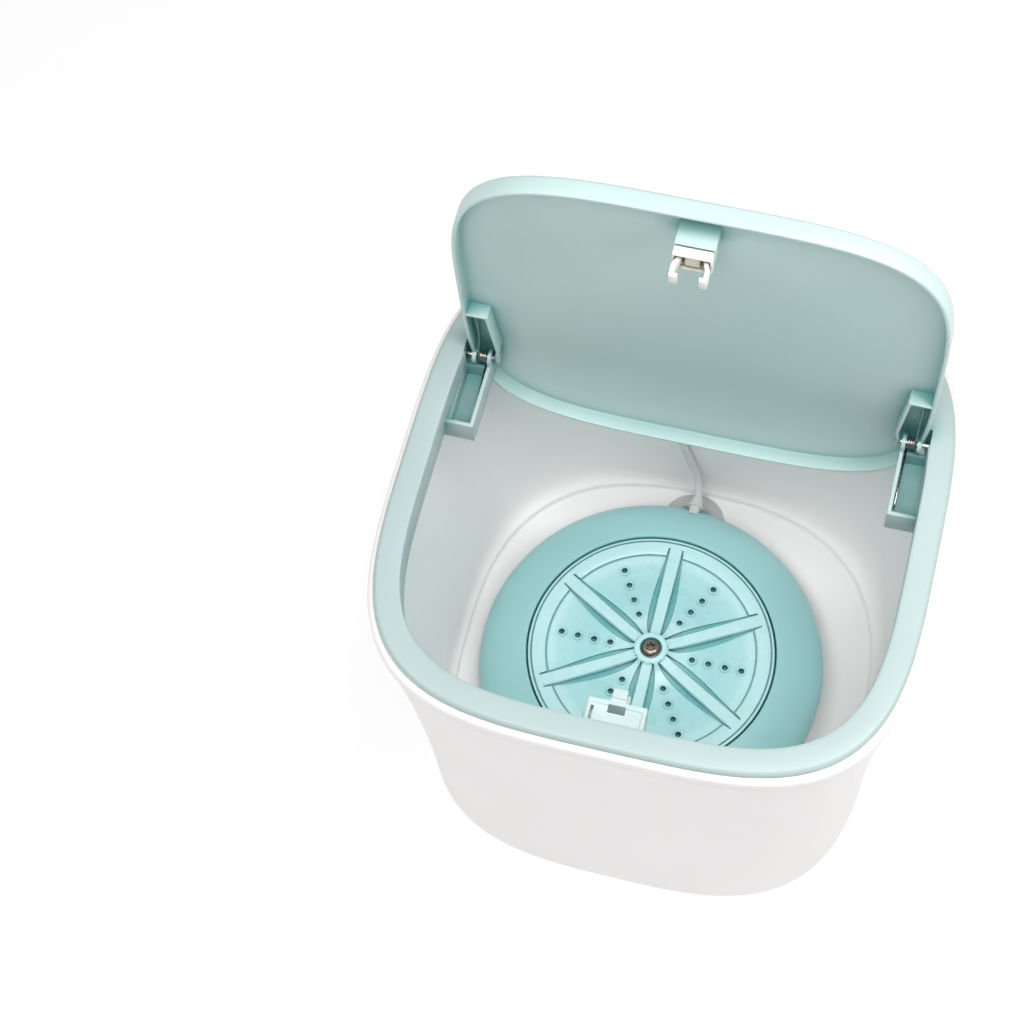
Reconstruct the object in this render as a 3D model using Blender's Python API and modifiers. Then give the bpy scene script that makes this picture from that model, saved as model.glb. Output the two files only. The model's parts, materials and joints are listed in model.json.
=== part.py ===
"""Portable mini washer: a tapered bucket, a clip-on ring with a sprung push-latch lid, and a turbine puck.

Metres, +Z up. The origin is at the centre of the base, the front (the latch side) is -Y, and the lid
is open at rest. Heights named below the ring are measured down from the ring's flat top.
"""

import math

import bmesh
import bpy
from mathutils import Matrix, Vector

MM = 0.001

# Bucket and ring, in plan a rounded square: a superellipse with a half width and a power.
RING_TOP = 188.5 * MM
RING_HALF = 100.0 * MM
RING_POWER = 3.65
RING_INNER_HALF = 89.9 * MM
RING_INNER_POWER = 3.93
RING_WALL_DEPTH = 15.0 * MM
BUCKET_TOP_HALF = 102.2 * MM
BUCKET_WAIST_PULL = 92.5 * MM
BUCKET_FOOT_HALF = 94.2 * MM
BUCKET_FOOT_POWER = 3.2
BUCKET_WALL = 2.4 * MM
BUCKET_BASE = 1.2 * MM  # the foot band, raised on the rubber feet
BUCKET_FLOOR = 14.5 * MM
OUTLINE_STEPS = 40

# Lid, hinged behind its middle so that its rear part swings down inside the ring.
LID_HALF = 88.2 * MM
LID_POWER = 4.06
LID_PLATE = 1.8 * MM
LID_SKIRT = 7.5 * MM
HINGE_Y = 46.0 * MM
HINGE_DROP = 6.8 * MM
LID_OPEN = math.radians(87.0)
PIN_RADIUS = 1.1 * MM
PIN_BORE = 1.3 * MM
EAR_RADIUS = 3.4 * MM

# Latch and striker, on the lid's front centre line.
LATCH_Y = -72.5 * MM
CLAW_X = 4.9 * MM
CLAW_DROP = 13.2 * MM

# Turbine puck, standing on suction cups.
PUCK_X = -5.6 * MM
PUCK_Y = 0.6 * MM
IMPELLER_RADIUS = 53.1 * MM
RIB_COUNT = 6
RIB_FIRST = math.radians(30.0)
HOLE_RADIUS = 1.4 * MM
HOLE_RINGS = (18.0 * MM, 25.2 * MM, 32.4 * MM, 39.6 * MM)
CUP_ANGLES = tuple(math.radians(a) for a in (30, 150, 270))
CUP_CIRCLE = 58.0 * MM
REAR_ANGLE = math.radians(88.0)
REAR_CUP_CIRCLE = 73.0 * MM
SCREW_ANGLES = tuple(math.radians(a) for a in (90, 210, 330))
SCREW_CIRCLE = 60.0 * MM
GLAND_HEIGHT = 26.3 * MM

# Cable.
CABLE_DIAMETER = 3.5 * MM
GROMMET_X = -20.0 * MM
GROMMET_HEIGHT = 153.5 * MM
COIL_CENTRE = (-36.75 * MM, 150.0 * MM)
COIL_MEAN_RADIUS = 19.25 * MM
COIL_LAYERS = 3

# Route of the cable from the gland to the coil, and from the coil to the plug.
CABLE_ROUTE = (
    (-2.8, 80.7, 26.3),
    (-3.0, 83.2, 27.0),
    (-3.8, 86.2, 30.0),
    (-5.2, 88.0, 35.5),
    (-9.0, 89.0, 46.0),
    (-13.0, 89.4, 62.0),
    (-16.5, 90.1, 84.0),
    (-18.8, 90.4, 106.0),
    (-19.7, 89.6, 124.0),
    (-20.0, 87.6, 137.0),
    (-20.0, 87.4, 144.0),
    (-20.0, 89.4, 150.0),
    (-20.0, 93.2, 153.2),
    (-20.0, 97.0, 153.6),
    (-20.0, 101.0, 153.2),
    (-20.0, 105.4, 151.4),
    (-20.0, 108.6, 147.2),
    (-20.0, 110.0, 139.0),
    (-19.6, 110.4, 112.0),
    (-18.8, 110.4, 76.0),
    (-17.6, 110.4, 40.0),
    (-16.6, 111.0, 18.0),
    (-15.8, 113.2, 8.0),
    (-15.0, 118.6, 2.6),
    (-14.3, 127.0, 1.9),
    (-14.0, 136.2, 1.9),
)
TAIL_ROUTE = (
    (-33.5, 134.2, 12.7),
    (-27.5, 134.1, 13.0),
    (-21.5, 134.0, 13.0),
    (-15.5, 134.0, 12.4),
    (-10.0, 134.0, 9.6),
    (-4.5, 134.0, 6.2),
    (1.5, 134.0, 4.6),
    (8.5, 134.0, 4.3),
)


# ---------------------------------------------------------------- helpers


def clear_scene():
    for obj in list(bpy.data.objects):
        bpy.data.objects.remove(obj, do_unlink=True)


def make_collection(name, helper=False):
    collection = bpy.data.collections.new(name)
    bpy.context.scene.collection.children.link(collection)
    collection.hide_render = helper
    return collection


def make_material(name, colour, roughness, metallic=0.0, alpha=1.0):
    material = bpy.data.materials.new(name)
    material.use_nodes = True
    shader = material.node_tree.nodes["Principled BSDF"]
    shader.inputs["Base Color"].default_value = (*colour, 1.0)
    shader.inputs["Roughness"].default_value = roughness
    shader.inputs["Metallic"].default_value = metallic
    shader.inputs["Alpha"].default_value = alpha
    return material


def add_object(name, data, material=None, parent=None, helper=False):
    """A new object in the part's collection, or in the cutters' when it is a helper."""
    obj = bpy.data.objects.new(name, data)
    (CUTTERS if helper else PARTS).objects.link(obj)
    if helper:
        obj.hide_render = True
        obj.display_type = "WIRE"
    if material:
        data.materials.append(material)
    obj.parent = parent
    return obj


def mesh_from(bm, name):
    bmesh.ops.recalc_face_normals(bm, faces=bm.faces)
    mesh = bpy.data.meshes.new(name)
    bm.to_mesh(mesh)
    bm.free()
    mesh.shade_smooth()
    mesh.set_sharp_from_angle(angle=math.radians(35))
    return mesh


def outline(half, power, steps=OUTLINE_STEPS):
    """Points round a superellipse of the given half width and power."""
    points = []
    for i in range(steps):
        angle = 2 * math.pi * i / steps
        c, s = math.cos(angle), math.sin(angle)
        x = math.copysign(abs(c) ** (2 / power), c)
        y = math.copysign(abs(s) ** (2 / power), s)
        points.append((half * x, half * y))
    return points


def lofted(name, sections, looped=False):
    """A skin through rounded squares (half width, height, power), capped, or looped back to the first."""
    bm = bmesh.new()
    rings = []
    for half, height, power in sections:
        rings.append([bm.verts.new((x, y, height)) for x, y in outline(half, power)])
    pairs = list(zip(rings, rings[1:]))
    if looped:
        pairs.append((rings[-1], rings[0]))
    else:
        bm.faces.new(rings[0])
        bm.faces.new(rings[-1])
    for low, high in pairs:
        for i in range(OUTLINE_STEPS):
            j = (i + 1) % OUTLINE_STEPS
            bm.faces.new((low[i], low[j], high[j], high[i]))
    return mesh_from(bm, name)


def box_mesh(name, low, high):
    """A box between two corners given in millimetres."""
    bm = bmesh.new()
    bmesh.ops.create_cube(bm, size=1.0)
    size = [(b - a) * MM for a, b in zip(low, high)]
    centre = [(a + b) / 2 * MM for a, b in zip(low, high)]
    bmesh.ops.scale(bm, vec=size, verts=bm.verts)
    bmesh.ops.translate(bm, vec=centre, verts=bm.verts)
    return mesh_from(bm, name)


def rod_mesh(name, radius, start, end, steps=16):
    """A cylinder of the given radius between two points in millimetres."""
    start, end = Vector(start) * MM, Vector(end) * MM
    along = end - start
    bm = bmesh.new()
    bmesh.ops.create_cone(
        bm, cap_ends=True, segments=steps, radius1=radius, radius2=radius, depth=along.length
    )
    turn = along.to_track_quat("Z", "Y").to_matrix().to_4x4()
    bmesh.ops.transform(bm, matrix=Matrix.Translation((start + end) / 2) @ turn, verts=bm.verts)
    return mesh_from(bm, name)


def turned(name, profile, material, location=(0, 0, 0), parent=None, steps=32, looped=True):
    """A profile of (radius, height) in millimetres, down its outer side, turned about Z."""
    mesh = bpy.data.meshes.new(name)
    bm = bmesh.new()
    verts = [bm.verts.new((r * MM, 0, z * MM)) for r, z in profile]
    for a, b in zip(verts, verts[1:]):
        bm.edges.new((a, b))
    if looped:
        bm.edges.new((verts[-1], verts[0]))
    bm.to_mesh(mesh)
    bm.free()
    obj = add_object(name, mesh, material, parent)
    obj.location = location
    screw = obj.modifiers.new("turn", "SCREW")
    screw.axis = "Z"
    screw.steps = steps
    screw.render_steps = steps
    screw.use_merge_vertices = True
    screw.merge_threshold = 0.00001
    screw.use_smooth_shade = True
    return obj


def boolean(obj, mesh, operation, matrix=None):
    """Joins a mesh to the object, or cuts it away, in the object's own space."""
    tool = add_object(f"{obj.name}_{operation.lower()}", mesh, helper=True)
    tool.parent = obj
    if matrix:
        tool.matrix_local = matrix
    modifier = obj.modifiers.new(operation.lower(), "BOOLEAN")
    modifier.operation = operation
    modifier.solver = "EXACT"
    modifier.object = tool


def join(obj, mesh, matrix=None):
    boolean(obj, mesh, "UNION", matrix)


def cut(obj, mesh, matrix=None):
    boolean(obj, mesh, "DIFFERENCE", matrix)


def plate_mesh(name, points, low, high, plane="XY"):
    """A flat outline in millimetres, filled and given thickness from low to high along its normal."""
    curve = bpy.data.curves.new(name, "CURVE")
    curve.dimensions = "2D"
    curve.fill_mode = "BOTH"
    curve.extrude = (high - low) / 2 * MM
    spline = curve.splines.new("POLY")
    spline.points.add(len(points) - 1)
    for point, (x, y) in zip(spline.points, points):
        point.co = (x * MM, y * MM, 0, 1)
    spline.use_cyclic_u = True
    guide = bpy.data.objects.new(name, curve)
    CUTTERS.objects.link(guide)
    graph = bpy.context.evaluated_depsgraph_get()
    mesh = bpy.data.meshes.new_from_object(guide.evaluated_get(graph))
    bpy.data.objects.remove(guide)
    bm = bmesh.new()
    bm.from_mesh(mesh)
    bmesh.ops.remove_doubles(bm, verts=bm.verts, dist=0.00001)
    bmesh.ops.translate(bm, vec=(0, 0, (high + low) / 2 * MM), verts=bm.verts)
    if plane == "XZ":  # the outline's second number is then a height, and the thickness runs along -Y
        bmesh.ops.rotate(bm, matrix=Matrix.Rotation(math.radians(90), 3, "X"), verts=bm.verts)
    return mesh_from(bm, name)


def smooth_path(points, spacing):
    """Points at an even spacing on a smooth curve through the given points, all in metres."""
    fine = []
    ends = [points[0] * 2 - points[1], *points, points[-1] * 2 - points[-2]]
    for before, a, b, after in zip(ends, ends[1:], ends[2:], ends[3:]):
        for k in range(12):
            t = k / 12
            fine.append(
                0.5
                * (
                    2 * a
                    + (b - before) * t
                    + (2 * before - 5 * a + 4 * b - after) * t**2
                    + (3 * a - before - 3 * b + after) * t**3
                )
            )
    fine.append(points[-1])
    lengths = [0.0]
    for a, b in zip(fine, fine[1:]):
        lengths.append(lengths[-1] + (b - a).length)
    count = max(2, round(lengths[-1] / spacing))
    path = []
    segment = 0
    for k in range(count + 1):
        target = lengths[-1] * k / count
        while segment < len(fine) - 2 and lengths[segment + 1] < target:
            segment += 1
        share = (target - lengths[segment]) / (lengths[segment + 1] - lengths[segment])
        path.append(fine[segment].lerp(fine[segment + 1], share))
    return path


def wire(name, path, diameter, material, parent=None, resolution=2):
    """A round wire or cable along a list of points."""
    curve = bpy.data.curves.new(name, "CURVE")
    curve.dimensions = "3D"
    curve.bevel_depth = diameter / 2
    curve.bevel_resolution = resolution
    curve.use_fill_caps = True
    spline = curve.splines.new("POLY")
    spline.points.add(len(path) - 1)
    for point, place in zip(spline.points, path):
        point.co = (*place, 1)
    return add_object(name, curve, material, parent)


def empty(name, location, rotation=(0, 0, 0), parent=None):
    obj = bpy.data.objects.new(name, None)
    PARTS.objects.link(obj)
    obj.location = location
    obj.rotation_euler = rotation
    obj.parent = parent
    return obj


def on_circle(radius, angle):
    return radius * math.cos(angle), radius * math.sin(angle)


# ---------------------------------------------------------------- bucket and ring


def wall_half(height):
    """The bucket's outer half width at a height, on a cubic curve that pulls in below the rim."""
    high, low = RING_TOP - 6 * MM, 0.0063
    pull = 88.3 * MM

    def curve(a, b, c, d, t):
        s = 1 - t
        return s**3 * a + 3 * s * s * t * b + 3 * s * t * t * c + t**3 * d

    first, last = 0.0, 1.0
    for _ in range(40):
        t = (first + last) / 2
        if curve(high, pull, low, low, t) > height:
            first = t
        else:
            last = t
    return curve(BUCKET_TOP_HALF, BUCKET_WAIST_PULL, BUCKET_FOOT_HALF, BUCKET_FOOT_HALF, t)


def wall_power(height):
    share = min(1.0, max(0.0, (RING_TOP - height) / RING_TOP))
    return RING_POWER + (BUCKET_FOOT_POWER - RING_POWER) * share


def bucket_sections():
    """From the middle of the recessed underside, out and up the wall, over the rim and down inside."""
    round_radius = 12 * MM
    corner = BUCKET_FOOT_HALF - round_radius
    sections = [
        (72 * MM, BUCKET_FLOOR - 2.2 * MM, 2.9),
        (74.5 * MM, BUCKET_FLOOR - 3.4 * MM, 3.0),
        (75.5 * MM, BUCKET_BASE, BUCKET_FOOT_POWER),
    ]
    for step in range(5):
        angle = math.radians(90 * step / 4)
        half = corner + round_radius * math.sin(angle)
        height = BUCKET_BASE + round_radius * (1 - math.cos(angle))
        sections.append((half, height, BUCKET_FOOT_POWER))
    for height in (30, 70, 115, 155, 178):
        sections.append((wall_half(height * MM), height * MM, wall_power(height * MM)))
    rim = (
        (102.2, 9.0),
        (102.2, 5.8),
        (101.8, 4.4),
        (101.1, 3.6),
        (100.3, 3.3),
        (96.9, 3.3),
        (96.9, 10.0),
    )
    for half, drop in rim:
        sections.append((half * MM, RING_TOP - drop * MM, RING_POWER))
    for height in (172, 140, 95, 50, 30):
        sections.append(
            (wall_half(height * MM) - BUCKET_WALL, height * MM, wall_power(height * MM))
        )
    ledge = (
        (91.2, 21.5, 3.0),
        (90.2, 18.6, 2.8),
        (89.2, 17.3, 2.65),
        (88.7, 16.9, 2.6),
        (88.2, 14.5, 2.6),
    )
    for half, height, power in ledge:
        sections.append((half * MM, height * MM, power))
    return sections


def make_bucket():
    bucket = add_object("bucket", lofted("bucket", bucket_sections()), WHITE)
    hole = ((GROMMET_X / MM, 90, GROMMET_HEIGHT / MM), (GROMMET_X / MM, 108, GROMMET_HEIGHT / MM))
    cut(bucket, rod_mesh("grommet_hole", 4.3 * MM, *hole, steps=20))


def make_feet():
    place = 63.5 * MM
    for name, sx, sy in (
        ("foot_front_left", -1, -1),
        ("foot_front_right", 1, -1),
        ("foot_rear_left", -1, 1),
        ("foot_rear_right", 1, 1),
    ):
        profile = ((0, 0.9), (2.5, 0.9), (2.9, 0.6), (2.9, 0), (0, 0))
        turned(name, profile, RUBBER, (sx * place, sy * place, 0), steps=16, looped=False)


def make_grommet():
    wall = wall_half(GROMMET_HEIGHT) - BUCKET_WALL / 2
    profile = (
        (2.5, 2.6),
        (5.2, 2.6),
        (6.0, 2.2),
        (6.0, 1.8),
        (3.9, 1.8),
        (3.9, -1.7),
        (6.0, -1.7),
        (6.0, -2.2),
        (5.2, -2.6),
        (2.5, -2.6),
    )
    grommet = turned("wall_grommet", profile, RUBBER, (GROMMET_X, wall, GROMMET_HEIGHT), steps=16)
    grommet.rotation_euler = (math.radians(90 - 4.5), 0, 0)


def mirrored(side, x_low, x_high, y_low, y_high, z_low, z_high):
    """Corners of a box in millimetres on the right (side 1) or mirrored to the left (side -1)."""
    xs = sorted((side * x_low, side * x_high))
    return (xs[0], y_low, z_low), (xs[1], y_high, z_high)


def ring_sections():
    outer = ((100.0, 3.0), (100.0, 1.8), (99.6, 0.7), (98.5, 0.0))
    inner = ((90.8, 0.0), (90.1, 0.25), (89.9, 0.9), (89.9, 15.0), (91.7, 15.0), (91.7, 2.6))
    spigot = ((94.6, 2.6), (94.6, 8.0), (96.4, 8.0), (96.4, 3.0))
    sections = []
    for points, power in ((outer, RING_POWER), (inner, RING_INNER_POWER), (spigot, RING_POWER)):
        sections += [(half * MM, -drop * MM, power) for half, drop in points]
    return sections


def make_ring():
    ring = add_object("rim_ring", lofted("rim_ring", ring_sections(), looped=True), MINT)
    ring.location = (0, 0, RING_TOP)
    hinge_y, hinge_z = HINGE_Y / MM, -HINGE_DROP / MM
    for side in (-1, 1):
        x_ear, x_wall = side * 79.0, side * 80.5
        join(ring, box_mesh("floor", *mirrored(side, 79.0, 90.3, 16, 44.8, -20, -18.5)))
        join(ring, box_mesh("inner_wall", *mirrored(side, 79.0, 80.5, 16, 49.4, -20, -8.5)))
        join(ring, box_mesh("outer_wall", *mirrored(side, 88.9, 90.3, 16, 44.8, -20, -12)))
        join(ring, box_mesh("front_wall", *mirrored(side, 79.0, 90.3, 16, 17.5, -20, -8.5)))
        join(ring, box_mesh("rear_wall", *mirrored(side, 79.0, 90.3, 43.3, 44.8, -20, -11.2)))
        join(ring, box_mesh("ear_web", *mirrored(side, 79.0, 80.5, 42.6, 49.4, -10, hinge_z)))
        ear = rod_mesh("ear", EAR_RADIUS, (x_ear, hinge_y, hinge_z), (x_wall, hinge_y, hinge_z), 20)
        join(ring, ear)
        cut(ring, box_mesh("notch", *mirrored(side, 87.0, 89.3, 42.6, 49.4, -11, 1)))
        bore = rod_mesh("bore", PIN_BORE, (side * 76, hinge_y, hinge_z), (side * 92.5, hinge_y, hinge_z))
        cut(ring, bore)


def make_striker():
    """The catch inside the ring's front wall: a box bracket that carries a mushroom tab for the claws."""
    y = LATCH_Y / MM
    striker = add_object("striker", box_mesh("striker", (-11, -89.4, -26.5), (11, -76.3, -15.0)), FROSTED)
    striker.location = (0, 0, RING_TOP)
    cut(striker, box_mesh("under", (-9.8, -91, -30), (9.8, -77.5, -16.4)))
    cut(striker, box_mesh("window", (-3.6, -82.0, -17), (3.6, -77.9, -14)))
    cut(striker, box_mesh("housing_seat", (-7.2, -77.2, -15.8), (7.2, -75, -14)))
    join(striker, box_mesh("arm", (-3.2, -77.2, -26.5), (3.2, y + 2.6, -24.4)))
    join(striker, box_mesh("neck", (-1.5, y - 2.2, -25), (1.5, y + 2.2, -16)))
    join(striker, box_mesh("head", (-3.0, y - 2.4, -16.5), (3.0, y + 2.4, -15)))


# ---------------------------------------------------------------- lid


def in_lid(obj):
    """Places a piece drawn in the ring's frame, with the lid shut, under the lid's hinge axis."""
    obj.parent = LID_AXIS
    obj.location = (0, -HINGE_Y, HINGE_DROP)
    return obj


def lid_sections():
    drops = ((86.9, 0.0), (87.9, 0.45), (88.2, 1.3), (88.2, 7.1), (87.8, 7.5), (87.0, 7.5), (86.6, 7.1))
    inside = ((86.6, 2.6), (85.8, 1.8))
    return [(half * MM, -drop * MM, LID_POWER) for half, drop in drops + inside]


def pocket_wall(side):
    """The wall round a spring pocket: an end wall and a side wall that jogs round the hinge ear."""
    outer = [(87.0, 12.6), (78.4, 12.6), (75.9, 40.0), (77.0, 45.0), (76.6, 50.6)]
    inner = [(77.8, 50.6), (78.2, 45.0), (77.1, 40.0), (79.5, 13.9), (87.0, 13.9)]
    points = [(side * x, y) for x, y in outer + inner]
    return plate_mesh("pocket_wall", points, -LID_SKIRT / MM, -1.2)


def make_lid():
    lid = in_lid(add_object("lid", lofted("lid", lid_sections()), MINT_LID))
    hinge_y, hinge_z = HINGE_Y / MM, -HINGE_DROP / MM
    y = LATCH_Y / MM
    for side in (-1, 1):
        join(lid, pocket_wall(side))
        inner, outer = (side * 84.9, hinge_y, hinge_z), (side * 86.5, hinge_y, hinge_z)
        join(lid, rod_mesh("ear", EAR_RADIUS, inner, outer, 20))
        bore = rod_mesh("bore", PIN_BORE, (side * 84, hinge_y, hinge_z), (side * 89, hinge_y, hinge_z))
        cut(lid, bore)
    join(lid, box_mesh("latch_block", (-6.9, y - 4.6, -11.5), (6.9, y + 4.6, -1.2)))
    cut(lid, box_mesh("latch_pocket", (-6.0, y - 3.7, -13), (6.0, y + 3.7, -2.2)))


def make_latch_housing():
    y = LATCH_Y / MM
    body = box_mesh("housing", (-6.8, y - 4.4, -15.5), (6.8, y + 4.4, -11.8))
    housing = in_lid(add_object("latch_housing", body, CREAM))
    cut(housing, box_mesh("mouth", (-6.0, y - 3.7, -17), (6.0, y + 3.7, -10)))


def make_latch_slider():
    """The push plunger, with a cheek on each side that carries the claw pins."""
    y = LATCH_Y / MM
    body = box_mesh("plunger", (-2.7, y - 3.3, -14.7), (2.7, y + 3.3, -9.5))
    slider = in_lid(add_object("latch_plunger", body, BEIGE))
    for low, high in ((y - 3.3, y - 2.7), (y + 2.7, y + 3.3)):
        join(slider, box_mesh("cheek", (-5.7, low, -14.1), (5.7, high, -11.6)))
    for side in (-1, 1):
        bore = rod_mesh("pin_bore", 0.6 * MM, (side * 4.9, y - 5, -13.2), (side * 4.9, y + 5, -13.2), 12)
        cut(slider, bore)


def make_claws():
    y = LATCH_Y / MM
    half = 2.4
    shape = (
        (-1.3, 1.2),
        (0.7, 1.2),
        (0.7, -2.3),
        (1.7, -5.0),
        (1.5, -9.2),
        (-1.1, -9.2),
        (-1.4, -7.6),
        (0.0, -7.6),
        (0.0, -5.0),
        (-1.3, -0.8),
    )
    for name, side in (("left", -1), ("right", 1)):
        points = [(side * (CLAW_X / MM + x), z - CLAW_DROP / MM) for x, z in shape]
        mesh = plate_mesh(f"claw_{name}", points, -y - half, -y + half, "XZ")
        claw = in_lid(add_object(f"latch_claw_{name}", mesh, CREAM))
        x = side * CLAW_X / MM
        cut(claw, rod_mesh("bore", 0.6 * MM, (x, y - 5, -13.2), (x, y + 5, -13.2), 12))
        pin = rod_mesh("claw_pin", 0.5 * MM, (x, y - 3.5, -13.2), (x, y + 3.5, -13.2), 12)
        in_lid(add_object(f"claw_pin_{name}", pin, STEEL))


def make_latch_spring():
    turns, steps, radius = 4, 8, 1.8 * MM
    top, bottom = -2.7 * MM, -9.1 * MM
    path = []
    for k in range(turns * steps + 1):
        x, y = on_circle(radius, 2 * math.pi * k / steps)
        path.append((x, LATCH_Y + y, top + (bottom - top) * k / (turns * steps)))
    in_lid(wire("latch_spring", path, 0.5 * MM, STEEL, resolution=1))


def make_hinge(side, name):
    """A steel pin through the ring's ear, the spring, the lid's ear and the ring's wall."""
    y, z = HINGE_Y, RING_TOP - HINGE_DROP
    pin = rod_mesh("pin", PIN_RADIUS, (side * 78.5, y / MM, z / MM), (side * 89.9, y / MM, z / MM))
    add_object(f"hinge_pin_{name}", pin, STEEL)
    coil_start, pitch, radius, turns, steps = 81.2, 0.9, 2.0, 3, 10
    path = [Vector((side * coil_start, 22.0, -15.6)), Vector((side * coil_start, 24.0, -14.6))]
    for k in range(turns * steps + steps // 4 + 1):
        angle = math.radians(-90) - 2 * math.pi * k / steps
        x = coil_start + pitch * k / steps
        around, up = on_circle(radius, angle)
        path.append(Vector((side * x, HINGE_Y / MM + around, up - HINGE_DROP / MM)))
    last = path[-1]
    path += [Vector((last.x, 47.9, 6.0)), Vector((last.x, 47.3, 19.0)), Vector((last.x - side, 47.2, 20.5))]
    path = [Vector((p.x * MM, p.y * MM, p.z * MM + RING_TOP)) for p in path]
    wire(f"hinge_spring_{name}", path, 0.8 * MM, STEEL, resolution=1)


# ---------------------------------------------------------------- turbine puck


def at_puck(height=0.0):
    return (PUCK_X, PUCK_Y, height * MM)


def make_housing():
    profile = (
        (53.7, 35.4),
        (54.4, 35.9),
        (55.6, 35.7),
        (60.0, 34.4),
        (65.5, 32.2),
        (70.0, 29.6),
        (73.0, 26.8),
        (74.4, 24.2),
        (74.4, 22.2),
        (73.2, 20.7),
        (71.2, 20.7),
        (71.2, 23.7),
        (66.8, 23.7),
        (66.8, 25.0),
        (70.0, 25.6),
        (68.0, 28.0),
        (64.0, 30.4),
        (58.5, 32.4),
        (55.6, 33.2),
        (55.6, 29.0),
        (8.6, 29.0),
        (8.0, 28.1),
        (4.0, 28.1),
        (4.0, 31.2),
        (6.5, 31.2),
        (7.1, 30.5),
        (53.7, 30.5),
    )
    housing = turned("turbine_housing", profile, TEAL, at_puck(), steps=32)
    for angle in SCREW_ANGLES:
        x, y = on_circle(SCREW_CIRCLE / MM, angle)
        join(housing, rod_mesh("screw_boss", 3.0 * MM, (x, y, 22.4), (x, y, 31.0), 12))
        cut(housing, rod_mesh("screw_hole", 1.3 * MM, (x, y, 20), (x, y, 29.2), 10))
    x, y = on_circle(1, REAR_ANGLE)
    gland_z = GLAND_HEIGHT / MM
    hole = rod_mesh("gland_hole", 2.8 * MM, (68 * x, 68 * y, gland_z), (80 * x, 80 * y, gland_z), 16)
    cut(housing, hole)


def make_base():
    profile = (
        (0, 18.0),
        (41.4, 18.0),
        (43.0, 22.0),
        (70.8, 22.0),
        (70.8, 20.4),
        (44.4, 20.4),
        (42.8, 16.4),
        (0, 16.4),
    )
    base = turned("turbine_base", profile, TEAL_DARK, at_puck(), steps=32, looped=False)
    for angle in CUP_ANGLES:
        x, y = on_circle(CUP_CIRCLE / MM, angle)
        join(base, rod_mesh("cup_socket", 5.2 * MM, (x, y, 18.3), (x, y, 21.0), 16))
        cut(base, rod_mesh("cup_bore", 2.8 * MM, (x, y, 17.0), (x, y, 20.6), 12))
    for angle in SCREW_ANGLES:
        x, y = on_circle(SCREW_CIRCLE / MM, angle)
        cut(base, rod_mesh("screw_hole", 1.6 * MM, (x, y, 19), (x, y, 23), 10))
        cut(base, rod_mesh("boss_seat", 3.4 * MM, (x, y, 21.4), (x, y, 23), 12))
    turn = Matrix.Rotation(REAR_ANGLE, 4, "Z")
    join(base, box_mesh("rear_ear", (66.5, -6, 18.7), (77.5, 6, 20.3)), turn)
    join(base, box_mesh("rear_ear_root", (64.5, -5.7, 19.0), (68.5, 5.7, 21.0)), turn)
    x, y = on_circle(REAR_CUP_CIRCLE / MM, REAR_ANGLE)
    cut(base, rod_mesh("rear_cup_bore", 2.6 * MM, (x, y, 18), (x, y, 21), 12))


def make_cups():
    profile = (
        (0, 20.2),
        (2.5, 20.2),
        (2.5, 17.9),
        (5.5, 17.6),
        (9.5, 16.4),
        (12.0, 15.1),
        (12.0, 14.8),
        (9.0, 15.1),
        (4.0, 16.0),
        (0, 16.2),
    )
    for name, angle in zip(("right", "left", "front"), CUP_ANGLES):
        x, y = on_circle(CUP_CIRCLE, angle)
        place = (PUCK_X + x, PUCK_Y + y, 0)
        turned(f"suction_cup_{name}", profile, CLEAR, place, steps=16, looped=False)
    rear_profile = (
        (0, 20.1),
        (2.3, 20.1),
        (2.3, 18.3),
        (6.0, 18.0),
        (11.0, 16.9),
        (14.0, 15.2),
        (14.0, 14.8),
        (11.0, 15.2),
        (5.0, 16.2),
        (0, 16.5),
    )
    x, y = on_circle(REAR_CUP_CIRCLE, REAR_ANGLE)
    place = (PUCK_X + x, PUCK_Y + y, 0)
    turned("suction_cup_rear", rear_profile, CLEAR, place, steps=16, looped=False)


def make_impeller():
    """The ribbed disc: a flat outer band, a dished face, flat-topped ribs, and rows of drain holes."""
    radius = IMPELLER_RADIUS / MM
    profile = (
        (1.7, 38.4),
        (1.7, 33.4),
        (2.3, 33.4),
        (2.3, 31.6),
        (6.2, 31.6),
        (7.4, 31.2),
        (12.0, 31.6),
        (radius, 31.6),
        (radius, 34.8),
        (52.5, 35.3),
        (46.6, 35.3),
        (45.8, 34.7),
        (38.0, 33.6),
        (24.0, 33.4),
        (12.0, 34.6),
        (8.0, 36.4),
        (7.0, 38.0),
        (6.2, 38.4),
        (5.0, 38.4),
        (4.7, 37.2),
        (1.7, 37.2),
    )
    impeller = turned("impeller", tuple(reversed(profile[1:])), TEAL_PALE, (0, 0, 0), IMPELLER_AXIS, 32)
    rib_outline = ((6.2, 32.4), (6.2, 37.6), (14.0, 36.4), (50.0, 35.3), (50.0, 32.4))
    for k in range(RIB_COUNT):
        angle = RIB_FIRST + 2 * math.pi * k / RIB_COUNT
        turn = Matrix.Rotation(angle, 4, "Z")
        join(impeller, plate_mesh("rib", rib_outline, -2.5, 2.5, "XZ"), turn)
        row = Matrix.Rotation(angle + math.pi / RIB_COUNT, 4, "Z")
        for ring in HOLE_RINGS:
            x, y, _ = row @ Vector((ring / MM, 0, 0))
            cut(impeller, rod_mesh("hole", HOLE_RADIUS, (x, y, 30), (x, y, 38), 6))
    return impeller


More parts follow.
